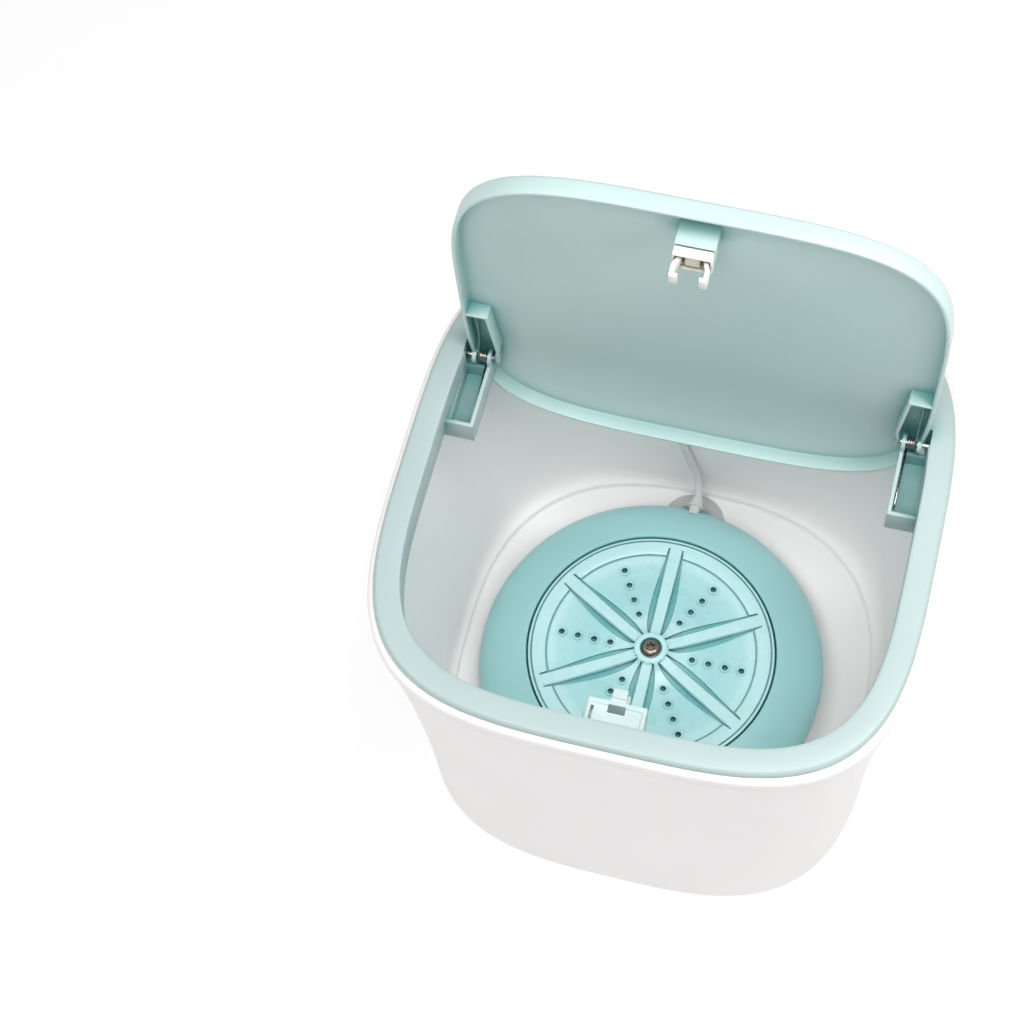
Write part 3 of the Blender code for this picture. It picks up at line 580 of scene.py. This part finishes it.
def at_lid():
    """From the ring's frame with the lid shut to the open lid."""
    hinge = Vector((0, HINGE_Y * MM, (RING_TOP - HINGE_DROP) * MM))
    shut = Vector((0, HINGE_Y * MM, -HINGE_DROP * MM))
    return Matrix.Translation(hinge) @ Matrix.Rotation(-LID_OPEN, 4, "X") @ Matrix.Translation(-shut)


def at_puck():
    return Matrix.Translation((PUCK[0] * MM, PUCK[1] * MM, 0))


def on_circle(radius, degrees):
    return radius * math.cos(math.radians(degrees)), radius * math.sin(math.radians(degrees))


def smooth_path(points, spacing):
    """Points at an even spacing on a smooth curve through the given points."""
    fine = []
    ends = [points[0] * 2 - points[1], *points, points[-1] * 2 - points[-2]]
    for before, a, b, after in zip(ends, ends[1:], ends[2:], ends[3:]):
        for k in range(12):
            t = k / 12
            bend = (2 * before - 5 * a + 4 * b - after) * t**2
            twist = (3 * a - before - 3 * b + after) * t**3
            fine.append(0.5 * (2 * a + (b - before) * t + bend + twist))
    fine.append(points[-1])
    lengths = [0.0]
    for a, b in zip(fine, fine[1:]):
        lengths.append(lengths[-1] + (b - a).length)
    count = max(2, round(lengths[-1] / spacing))
    path = []
    segment = 0
    for k in range(count + 1):
        target = lengths[-1] * k / count
        while segment < len(fine) - 2 and lengths[segment + 1] < target:
            segment += 1
        share = (target - lengths[segment]) / (lengths[segment + 1] - lengths[segment])
        path.append(fine[segment].lerp(fine[segment + 1], share))
    return path


def wire(name, path, diameter, material):
    """A round wire or cable along a list of points in metres."""
    curve = bpy.data.curves.new(name, "CURVE")
    curve.dimensions = "3D"
    curve.bevel_depth = diameter / 2
    curve.bevel_resolution = 5
    curve.use_fill_caps = True
    spline = curve.splines.new("POLY")
    spline.points.add(len(path) - 1)
    for point, place in zip(spline.points, path):
        point.co = (*place, 1)
    spline.use_smooth = True
    obj = bpy.data.objects.new(name, curve)
    bpy.context.scene.collection.objects.link(obj)
    curve.materials.append(MATERIALS[material])
    return obj


# ---------------------------------------------------------------- cable and plug


def eased(angle, start, end):
    """0 before start, 1 after end, and a smooth step between."""
    t = min(1.0, max(0.0, (angle - start) / (end - start)))
    return t * t * (3 - 2 * t)


def coil_points():
    """Three layers of three turns. Each turn steps to the next level before a layer steps inward."""
    points = []
    levels = (COIL_LEVELS, COIL_LEVELS[::-1], COIL_LEVELS)
    step = 10
    for layer, radius in enumerate(COIL_RADII):
        for turn in range(3):
            last_turn = turn == 2
            here = levels[layer][turn]
            above = here if last_turn else levels[layer][turn + 1]
            inward = COIL_RADII[layer + 1] if last_turn and layer < 2 else radius
            end = 360
            start_rise = 220
            if last_turn and layer == 2:
                above, end, start_rise = 12.6, 270, 170
            for degrees in range(0, end, step):
                z = here + (above - here) * eased(degrees, start_rise, start_rise + 68)
                r = radius + (inward - radius) * eased(degrees, 292, 352)
                x, y = on_circle(r, degrees)
                points.append(Vector((COIL_CENTRE[0] + x, COIL_CENTRE[1] + y, z)))
    return points


def make_cable():
    route = smooth_path([Vector(p) for p in CABLE_ROUTE], 5.0)
    bridge = [Vector(p) for p in TAIL_ROUTE]
    tail = smooth_path([coil_points()[-1], Vector(COIL_EXIT), *bridge], 4.0)[1:]
    path = [p * MM for p in [*route, Vector(COIL_ENTRY), *coil_points(), *tail]]
    cable = wire("cable", path, CABLE_DIAMETER * MM, "cable_sheath")
    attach(cable, "root")
    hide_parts("usb_cable", "usb_cable_coil", "usb_cable_tail")
    return cable, path[0]


def make_plug():
    x, y, z = TAIL_ROUTE[-1]
    body = Builder("plug_body", box((x + 4.3, y - 7.6, z - 4.2), (x + 24, y + 7.6, z + 3.6), 1.5))
    body.join(rod(2.3, (x + 0.4, y, z - 0.2), (x + 6, y, z - 0.2), 32, 3.4))
    for k in range(4):
        edge = x + 9 + 2.6 * k
        body.cut(box((edge, y - 8, z + 3.3), (edge + 0.9, y + 8, z + 5)))
    moulding = body.finish("cable_sheath", "root", "usb_plug_body")
    shell = Builder("plug_shell", box((x + 24.3, y - 6, z - 2.55), (x + 36.0, y + 6, z + 1.95), 0.25))
    shell.cut(box((x + 25.5, y - 5.6, z - 0.2), (x + 37.0, y + 5.6, z + 1.55)))
    for offset in (-3.0, 3.0):
        shell.cut(box((x + 29, y + offset - 1.1, z + 1.4), (x + 31.4, y + offset + 1.1, z + 2.5)))
    metal_shell = shell.finish("steel", "root", "usb_plug_shell")
    return moulding, metal_shell


# ---------------------------------------------------------------- bucket and ring


def wall_half(height):
    """The bucket's outer half width at a height, on a cubic curve that pulls in below the rim."""

    def curve(a, b, c, d, t):
        s = 1 - t
        return s**3 * a + 3 * s * s * t * b + 3 * s * t * t * c + t**3 * d

    heights = (RING_TOP - 6, BUCKET_WAIST_HEIGHT, BUCKET_FOOT_HEIGHT, BUCKET_FOOT_HEIGHT)
    halves = (BUCKET_TOP_HALF, BUCKET_WAIST_PULL, BUCKET_FOOT_HALF, BUCKET_FOOT_HALF)
    first, last = 0.0, 1.0
    for _ in range(40):
        t = (first + last) / 2
        if curve(*heights, t) > height:
            first = t
        else:
            last = t
    return curve(*halves, t)


def wall_power(height):
    share = min(1.0, max(0.0, (RING_TOP - height) / RING_TOP))
    return RING_POWER + (BUCKET_FOOT_POWER - RING_POWER) * share


def bucket_sections():
    """From the middle of the recessed underside, out and up the wall, over the rim and down inside."""
    corner = BUCKET_FOOT_HALF - BUCKET_FOOT_ROUND
    sections = [
        (72, BUCKET_FLOOR - 2.2, 2.9),
        (74.5, BUCKET_FLOOR - 3.4, 3.0),
        (75.5, BUCKET_BASE, BUCKET_FOOT_POWER),
    ]
    for step in range(11):
        angle = math.radians(9 * step)
        half = corner + BUCKET_FOOT_ROUND * math.sin(angle)
        height = BUCKET_BASE + BUCKET_FOOT_ROUND * (1 - math.cos(angle))
        sections.append((half, height, BUCKET_FOOT_POWER))
    for height in range(20, 180, 7):
        sections.append((wall_half(height), height, wall_power(height)))
    rim = (
        (101.75, 9.6),
        (102.1, 9.1),
        (102.2, 8.5),
        (102.2, 5.8),
        (102.1, 5.0),
        (101.8, 4.3),
        (101.3, 3.7),
        (100.7, 3.4),
        (100.2, 3.3),
        (96.9, 3.3),
        (96.9, 10.0),
    )
    sections += [(half, RING_TOP - drop, RING_POWER) for half, drop in rim]
    for height in range(172, 26, -7):
        sections.append((wall_half(height) - BUCKET_WALL, height, wall_power(height)))
    ledge = (
        (91.5, 23.5, 3.02),
        (91.1, 21.2, 2.95),
        (90.6, 19.4, 2.84),
        (89.9, 18.1, 2.74),
        (89.2, 17.3, 2.65),
        (88.8, 17.0, 2.62),
        (88.5, 16.6, 2.6),
        (88.3, 16.0, 2.6),
        (88.2, 15.2, 2.6),
        (87.6, 14.6, 2.6),
        (86.5, 14.5, 2.6),
    )
    return sections + list(ledge)


def make_bucket():
    bucket = Builder("bucket_shell", lofted(bucket_sections()))
    bucket.cut(rod(GROMMET_HOLE, (GROMMET[0], 90, GROMMET[1]), (GROMMET[0], 108, GROMMET[1])))
    bucket.finish("white_bucket", "root", "bucket", sharp=50)


def ring_sections():
    outer = ((100.0, 3.0), (100.0, 1.9), (99.85, 1.2), (99.4, 0.55), (98.9, 0.15), (98.3, 0.0))
    inner = (
        (91.1, 0.0),
        (90.5, 0.1),
        (90.1, 0.4),
        (89.9, 1.0),
        (89.9, 14.4),
        (90.2, 15.0),
        (91.7, 15.0),
        (91.7, 2.6),
    )
    spigot = ((94.6, 2.6), (94.6, 8.0), (96.4, 8.0), (96.4, 3.0))
    sections = []
    for points, power in ((outer, RING_POWER), (inner, RING_INNER_POWER), (spigot, RING_POWER)):
        sections += [(half, -drop, power) for half, drop in points]
    return sections


def make_trough(side):
    """The tray inside the ring's wall that holds a hinge spring."""
    trough = Builder("trough", side_box(side, (79.0, 90.9), (16, 44.8), (-20, -18.5)))
    trough.join(side_box(side, (79.0, 80.5), (16, 49.4), (-20, -8.5)))
    trough.join(side_box(side, (89.0, 90.9), (16, 44.8), (-20, -12)))
    trough.join(side_box(side, (79.0, 90.9), (16, 17.5), (-20, -8.5)))
    trough.join(side_box(side, (79.0, 90.9), (43.3, 44.8), (-20, -11.2)))
    trough.join(side_box(side, (79.0, 80.5), (42.6, 49.4), (-10, -HINGE_DROP)))
    return trough.softened(0.25)


def make_ring():
    ring = Builder("rim_ring_fine", lofted(ring_sections(), looped=True))
    y, z = HINGE_Y, -HINGE_DROP
    for side in (-1, 1):
        ring.join(make_trough(side))
        ring.join(rod(EAR_RADIUS, (side * 79.05, y, z), (side * 80.45, y, z)))
        ring.cut(side_box(side, (87.0, 89.3), (42.6, 49.4), (-11, 1)))
        ring.cut(rod(PIN_BORE, (side * 76, y, z), (side * 92.5, y, z)))
    ring.finish("mint_ring", "root", "rim_ring", place=at_ring())


def make_striker():
    y = LATCH_Y
    striker = Builder("striker_fine", box((-11, -89.4, -26.5), (11, -76.3, -15.0), 0.6))
    striker.cut(box((-9.8, -91, -30), (9.8, -77.5, -16.4)))
    striker.cut(box((-9.6, -88.0, -15.6), (9.6, -78.4, -14), 0.3))
    striker.cut(box((-9.4, -86.8, -17), (-8.2, -79.4, -14)))
    striker.cut(box((-3.2, -81.0, -17), (3.2, -77.9, -14)))
    striker.join(box((-3.2, -77.2, -26.5), (3.2, y + 2.6, -24.4), 0.3))
    striker.join(box((-1.5, y - 2.2, -25), (1.5, y + 1.0, -16)))
    striker.join(box((-2.7, -77.0, -16.5), (2.7, y + 1.2, -15.05), 0.3))
    striker.cut(box((-7.2, -77.2, -15.8), (7.2, -75, -14)))
    striker.finish("frosted_striker", "root", "striker", place=at_ring())


# ---------------------------------------------------------------- lid and latch


def lid_sections():
    outside = (
        (86.6, 0.0),
        (87.3, 0.1),
        (87.8, 0.45),
        (88.1, 0.9),
        (88.2, 1.5),
        (88.2, 6.9),
        (88.05, 7.35),
        (87.7, 7.5),
    )
    inside = ((87.1, 7.5), (86.75, 7.35), (86.6, 6.9), (86.6, 2.8), (86.3, 2.1), (85.6, 1.8))
    return [(half, -drop, LID_POWER) for half, drop in outside + inside]


def pocket_wall(side):
    outer = [(87.0, 12.6), (78.4, 12.6), (75.9, 40.0), (77.0, 45.0), (76.6, 50.6)]
    inner = [(77.8, 50.6), (78.2, 45.0), (77.1, 40.0), (79.5, 13.9), (87.0, 13.9)]
    points = [(side * x, y) for x, y in outer + inner]
    return plate(points, -LID_SKIRT, -1.2, 0.25)


def make_lid():
    lid = Builder("lid_fine", lofted(lid_sections()))
    z = -HINGE_DROP
    for side in (-1, 1):
        lid.join(pocket_wall(side))
        lid.join(rod(EAR_RADIUS, (side * 84.9, HINGE_Y, z), (side * 86.5, HINGE_Y, z)))
        lid.cut(rod(PIN_BORE, (side * 84, HINGE_Y, z), (side * 89, HINGE_Y, z)))
    y = LATCH_Y
    lid.join(box((-6.9, y - 4.6, -11.5), (6.9, y + 4.6, -1.2), 0.35))
    lid.cut(box((-6.0, y - 3.7, -13), (6.0, y + 3.7, -2.2)))
    lid.finish("mint_lid", "lid", "lid", place=at_lid())


def pivot_bore(side):
    """The hole for a claw's pin, through the plunger and the claw."""
    x, y = side * CLAW_X, LATCH_Y
    return rod(0.6, (x, y - 5, -CLAW_DROP), (x, y + 5, -CLAW_DROP), 20)


def make_latch():
    y = LATCH_Y
    housing = Builder("latch_housing_fine", box((-6.8, y - 4.4, -15.5), (6.8, y + 4.4, -11.8), 0.5))
    housing.cut(box((-6.0, y - 3.7, -17), (6.0, y + 3.7, -10)))
    housing.finish("cream_latch", "lid", "latch_housing", place=at_lid())
    plunger = Builder("latch_plunger_fine", box((-2.7, y - 3.3, -14.7), (2.7, y + 3.3, -9.5), 0.7))
    for low, high in ((y - 3.3, y - 2.7), (y + 2.7, y + 3.3)):
        plunger.join(box((-5.7, low, -14.1), (5.7, high, -11.6), 0.15))
    for side in (-1, 1):
        plunger.cut(pivot_bore(side))
    plunger.finish("beige_plunger", "latch_slider", "latch_plunger", place=at_lid())
    shape = (
        (-1.3, 1.2),
        (0.7, 1.2),
        (0.7, -2.3),
        (1.7, -5.0),
        (1.5, -9.2),
        (-1.1, -9.2),
        (-1.4, -7.6),
        (0.0, -7.6),
        (0.0, -5.0),
        (-1.3, -0.8),
    )
    for name, side in (("left", -1), ("right", 1)):
        points = [(side * (CLAW_X + x), z - CLAW_DROP) for x, z in shape]
        claw = Builder(f"claw_{name}_fine", plate(points, y - 2.4, y + 2.4, 0.2, upright=True))
        claw.cut(pivot_bore(side))
        claw.finish("cream_latch", f"claw_{name}", f"latch_claw_{name}", place=at_lid())


def spring_solid(name, path, diameter):
    """A steel spring as one closed mesh, along a path in millimetres."""
    spring = wire("spring_wire", [point * MM for point in path], diameter * MM, "steel")
    graph = bpy.context.evaluated_depsgraph_get()
    mesh = bpy.data.meshes.new_from_object(spring.evaluated_get(graph))
    bpy.data.objects.remove(spring)
    welded = bmesh.new()
    welded.from_mesh(mesh)
    bmesh.ops.remove_doubles(welded, verts=welded.verts, dist=0.00001)
    welded.to_mesh(mesh)
    welded.free()
    solid = bpy.data.objects.new(name, mesh)
    bpy.context.scene.collection.objects.link(solid)
    return solid


def make_latch_spring():
    """The coil spring behind the plunger, carried by the lid."""
    low, high, steps, turns = -9.1, -2.7, 16, 4
    path = []
    for k in range(turns * steps + 1):
        x, y = on_circle(1.8, 360 * k / steps)
        path.append(Vector((x, LATCH_Y + y, low + (high - low) * k / (turns * steps))))
    solid = spring_solid("latch_spring_fine", path, 0.5)
    solid.data.transform(at_lid())
    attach(solid, "lid")
    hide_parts("latch_spring")
    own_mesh(solid)


def make_hinge_springs():
    """Steel torsion springs round the hinge pins."""
    for name, side in (("left", -1), ("right", 1)):
        start, pitch, radius, steps = 81.2, 0.9, 2.0, 28
        path = [Vector((side * start, 22.0, -15.6)), Vector((side * start, 24.0, -14.6))]
        for k in range(3 * steps + steps // 4 + 1):
            angle = -90 - 360 * k / steps
            around, up = on_circle(radius, angle)
            path.append(Vector((side * (start + pitch * k / steps), HINGE_Y + around, up - HINGE_DROP)))
        last = path[-1].x
        path += [Vector((last, 47.9, 6.0)), Vector((last, 47.3, 19.0)), Vector((last - side, 47.2, 20.5))]
        solid = spring_solid(f"hinge_spring_{name}_fine", path, 0.8)
        solid.data.transform(at_ring())
        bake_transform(solid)
        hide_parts(f"hinge_spring_{name}")


# ---------------------------------------------------------------- turbine


def make_housing():
    profile = (
        (53.7, 34.9),
        (53.8, 35.5),
        (54.1, 35.85),
        (54.6, 35.9),
        (55.6, 35.7),
        (57.8, 35.15),
        (60.0, 34.4),
        (62.8, 33.4),
        (65.5, 32.2),
        (67.9, 30.95),
        (70.0, 29.5),
        (71.7, 28.2),
        (73.0, 26.8),
        (73.9, 25.5),
        (74.3, 24.3),
        (74.4, 23.2),
        (74.4, 22.2),
        (74.0, 21.3),
        (73.2, 20.7),
        (71.2, 20.7),
        (71.2, 23.7),
        (66.8, 23.7),
        (66.8, 25.0),
        (70.0, 25.6),
        (68.0, 28.0),
        (64.0, 30.4),
        (58.5, 32.4),
        (55.6, 33.2),
        (55.6, 29.0),
        (8.6, 29.0),
        (8.0, 28.1),
        (4.0, 28.1),
        (4.0, 31.2),
        (6.5, 31.2),
        (7.1, 30.5),
        (53.7, 30.5),
    )
    housing = Builder("turbine_housing_fine", turned(profile))
    for angle in SCREW_ANGLES:
        x, y = on_circle(SCREW_CIRCLE, angle)
        housing.join(rod(3.0, (x, y, 22.4), (x, y, 31.0), 24))
        housing.cut(rod(1.3, (x, y, 20), (x, y, 29.2), 20))
    x, y = on_circle(1, REAR_ANGLE)
    housing.cut(rod(GLAND_BORE, (68 * x, 68 * y, GLAND_HEIGHT), (80 * x, 80 * y, GLAND_HEIGHT), 32))
    housing.finish("teal_housing", "root", "turbine_housing", place=at_puck())


def leaf_share(r):
    """How far out a station lies along the leaf-shaped hollows, and how wide they are there, from 0 to 1."""
    t = min(1.0, max(0.0, (r - LEAF_START) / (LEAF_END - LEAF_START)))
    return t, math.sin(math.pi * t**0.7) * (1 - 0.3 * t)


def leaf_floor(r):
    """The height of the hollows' floor, which also runs under the ribs."""
    t, swell = leaf_share(r)
    return 33.35 + 1.45 * (1 - t) ** 3 + 1.2 * t**4 - 1.15 * swell


def rib_half(r):
    """Half the width of a rib's top."""
    return 2.2 + 0.6 * (r / 50.0) ** 1.5


def skinned(rows):
    """A closed skin over rows of points that have equal counts."""
    bm = bmesh.new()
    rings = [[bm.verts.new(point) for point in row] for row in rows]
    for a, b in zip(rings, rings[1:]):
        for i in range(len(a)):
            j = (i + 1) % len(a)
            bm.faces.new((a[i], a[j], b[j], b[i]))
    bm.faces.new(rings[0])
    bm.faces.new(rings[-1])
    return finished(bm)


def rib_mesh():
    """A flat-topped rib with steep sides. It lies lower and spreads a little towards the rim."""
    rows = []
    for k in range(45):
        r = RIB_START + RIB_LENGTH * k / 44
        along = r - RIB_START
        steep = min(1.0, along / RIB_STEEP_LENGTH)
        gentle = max(0.0, along - RIB_STEEP_LENGTH) / (RIB_LENGTH - RIB_STEEP_LENGTH)
        top = 37.4 - 1.55 * steep**0.7 - 0.5 * gentle
        half = rib_half(r)
        floor = leaf_floor(r) - 0.06
        foot = half + RIB_FOOT
        bend = half + 0.12
        side = [
            (foot, 31.9),
            (foot, floor),
            (bend, floor + 0.6 * (top - floor)),
            (half, top - 0.3),
            (half - 0.35, top),
        ]
        points = side + [(-y, z) for y, z in reversed(side)]
        rows.append([(r, y, z) for y, z in points])
    return skinned(rows)


def scoop_mesh(side):
    """What is cut from the face to make the leaf-shaped hollow on one side of a rib."""
    rows = []
    for k in range(41):
        r = LEAF_START - 0.4 + (LEAF_END - LEAF_START + 0.8) * k / 40
        near = rib_half(r) - 1
        edge = rib_half(r) + RIB_FOOT + 0.1 + LEAF_WIDTH * leaf_share(r)[1]
        floor = leaf_floor(r)
        points = [(near, floor), (edge, floor), (edge + 0.4, floor + 6), (near, floor + 6)]
        rows.append([(r, side * y, z) for y, z in points])
    return skinned(rows)


def bead_mesh(radius, height):
    """The rounded lip round a drain hole."""
    profile = (
        (radius - 0.1, height - 1.0),
        (radius - 0.1, height + 0.4),
        (radius + 0.15, height + 0.55),
        (radius + 0.45, height + 0.52),
        (radius + 0.75, height + 0.15),
        (radius + 0.85, height - 1.0),
    )
    return turned(profile, 28)


def make_impeller():
    profile = (
        (2.3, 31.6),
        (6.2, 31.6),
        (7.4, 31.2),
        (12.0, 31.6),
        (IMPELLER_RADIUS, 31.6),
        (IMPELLER_RADIUS, 34.7),
        (52.9, 35.15),
        (52.5, 35.3),
        (52.0, 35.3),
        (51.8, 34.7),
        (51.4, 34.7),
        (51.2, 35.3),
        (48.6, 35.42),
        (46.0, 35.2),
        (45.6, 35.0),
        (45.4, 34.15),
        (44.9, 34.15),
        (44.7, 34.5),
        (42.0, 34.05),
        (38.0, 33.65),
        (31.0, 33.4),
        (24.0, 33.4),
        (18.0, 33.75),
        (12.0, 34.6),
        (9.6, 35.3),
        (8.0, 36.4),
        (7.3, 37.6),
        (6.9, 38.1),
        (6.2, 38.4),
        (5.0, 38.4),
        (4.7, 38.2),
        (4.6, 37.2),
        (1.7, 37.2),
        (1.7, 33.4),
        (2.3, 33.4),
    )
    turns = [Matrix.Rotation(RIB_FIRST + 2 * math.pi * k / RIB_COUNT, 4, "Z") for k in range(RIB_COUNT)]
    half_step = Matrix.Rotation(math.pi / RIB_COUNT, 4, "Z")
    beads, holes = [], []
    for turn in turns:
        for ring, face in zip(HOLE_RINGS, HOLE_HEIGHTS):
            spot = turn @ half_step @ Matrix.Translation((ring * MM, 0, 0))
            beads.append((bead_mesh(HOLE_RADIUS, face), spot))
            holes.append((rod(HOLE_RADIUS, (0, 0, 30), (0, 0, 38), 28), spot))
    impeller = Builder("impeller_fine", turned(profile))
    impeller.cut(gathered([(scoop_mesh(side), turn) for turn in turns for side in (-1, 1)]))
    impeller.join(gathered([(rib_mesh(), turn) for turn in turns]))
    impeller.join(gathered(beads))
    impeller.cut(gathered(holes))
    impeller.finish("teal_impeller", "rotor", "impeller", place=at_puck())


def make_screw():
    """A domed head in a groove darkened by painted shade, with a six-lobed socket."""
    profile = (
        (2.0, 38.0),
        (2.0, 39.2),
        (2.2, 39.4),
        (2.8, 39.2),
        (3.3, 38.9),
        (3.75, 38.4),
        (3.85, 38.0),
        (3.6, 37.8),
        (4.2, 37.7),
        (4.2, 37.4),
        (1.4, 37.4),
        (1.4, 34.0),
        (0, 34.0),
        (0, 38.0),
    )
    screw = Builder("impeller_screw_fine", turned(profile, 72))
    for k in range(6):
        x, y = on_circle(1.95, 60 * k + 12)
        screw.join(rod(0.5, (x, y, 37.9), (x, y, 39.1), 20))
    screw.finish("screw_steel", "rotor", "impeller_screw", slot="steel", place=at_puck())


def make_cups():
    profile = (
        (0, 20.2),
        (2.5, 20.2),
        (2.5, 17.9),
        (5.5, 17.6),
        (7.6, 17.1),
        (9.5, 16.4),
        (11.0, 15.7),
        (12.0, 15.1),
        (12.0, 14.8),
        (9.0, 15.1),
        (4.0, 16.0),
        (0, 16.2),
    )
    for name, angle in CUP_ANGLES.items():
        x, y = on_circle(CUP_CIRCLE * MM, angle)
        place = at_puck() @ Matrix.Translation((x, y, 0))
        cup = Builder(f"cup_{name}_fine", turned(profile, 64))
        cup.finish("clear_cup", "root", f"suction_cup_{name}", place=place)
    rear = (
        (0, 20.1),
        (2.3, 20.1),
        (2.3, 18.3),
        (6.0, 18.0),
        (8.6, 17.6),
        (11.0, 16.9),
        (12.8, 16.0),
        (14.0, 15.2),
        (14.0, 14.8),
        (11.0, 15.2),
        (5.0, 16.2),
        (0, 16.5),
    )
    x, y = on_circle(REAR_CUP_CIRCLE * MM, REAR_ANGLE)
    cup = Builder("cup_rear_fine", turned(rear, 96))
    cup.finish("clear_cup", "root", "suction_cup_rear", place=at_puck() @ Matrix.Translation((x, y, 0)))


# ---------------------------------------------------------------- floor and light


def make_floor():
    """A plain pale floor. It also glows, so that it stays near white round the object."""
    mesh = bpy.data.meshes.new("floor")
    reach = 30.0
    corners = [(-reach, -reach, 0), (reach, -reach, 0), (reach, reach, 0), (-reach, reach, 0)]
    mesh.from_pydata(corners, [], [(0, 1, 2, 3)])
    floor = bpy.data.objects.new("floor", mesh)
    bpy.context.scene.collection.objects.link(floor)
    pale = moulded("floor_white", (0.4, 0.4, 0.4), 0.9, 0.0)
    shader = pale.node_tree.nodes["Principled BSDF"]
    shader.inputs["Emission Color"].default_value = (1, 1, 1, 1)
    shader.inputs["Emission Strength"].default_value = 0.66
    mesh.materials.append(pale)


def make_light(name, place, target, size, power):
    data = bpy.data.lights.new(name, "AREA")
    data.shape = "SQUARE"
    data.size = size
    data.energy = power
    light = bpy.data.objects.new(name, data)
    bpy.context.scene.collection.objects.link(light)
    light.location = place
    aim = Vector(target) - Vector(place)
    light.rotation_euler = aim.to_track_quat("-Z", "Y").to_euler()


def make_lights():
    world = bpy.data.worlds.new("studio")
    bpy.context.scene.world = world
    world.use_nodes = True
    sky = world.node_tree.nodes["Background"]
    sky.inputs["Color"].default_value = (1.0, 1.0, 1.0, 1)
    sky.inputs["Strength"].default_value = 0.14
    inside = (0, 0, 0.05)
    make_light("overhead", (0.08, -0.3, 1.5), inside, 0.4, 3.8)
    make_light("front_high", (-0.1, -0.8, 1.4), inside, 0.6, 6.5)
    make_light("left_high", (-0.6, -0.2, 1.2), inside, 0.5, 3.5)
    make_light("right_high", (0.3, 0.0, 1.4), (-0.06, 0, 0.1), 0.4, 4.5)
    make_light("lid_side", (0.35, -0.05, 0.55), (0, 0.03, 0.16), 0.25, 1.2)
    bpy.context.scene.view_settings.view_transform = "Standard"


# ---------------------------------------------------------------- assembly

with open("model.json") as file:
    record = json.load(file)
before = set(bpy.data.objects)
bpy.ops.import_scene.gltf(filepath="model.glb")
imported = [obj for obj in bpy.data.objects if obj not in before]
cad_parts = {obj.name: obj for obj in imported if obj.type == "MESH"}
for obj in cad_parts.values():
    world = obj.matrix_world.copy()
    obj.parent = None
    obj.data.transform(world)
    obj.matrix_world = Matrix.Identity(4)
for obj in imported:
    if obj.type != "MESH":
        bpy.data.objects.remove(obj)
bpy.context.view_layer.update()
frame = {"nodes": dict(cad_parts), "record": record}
MATERIALS = make_materials()
for node in frame["record"]["subparts"]:
    slots = frame["nodes"][node["node"]].material_slots
    slots[0].material = MATERIALS[node["material_slot"]]

make_camera()
cable, cable_exit = make_cable()
list(make_plug())

make_bucket()
make_ring()
make_striker()
make_lid()
make_latch()
make_latch_spring()
make_hinge_springs()
make_housing()
make_impeller()
make_screw()
make_cups()
make_floor()
make_lights()
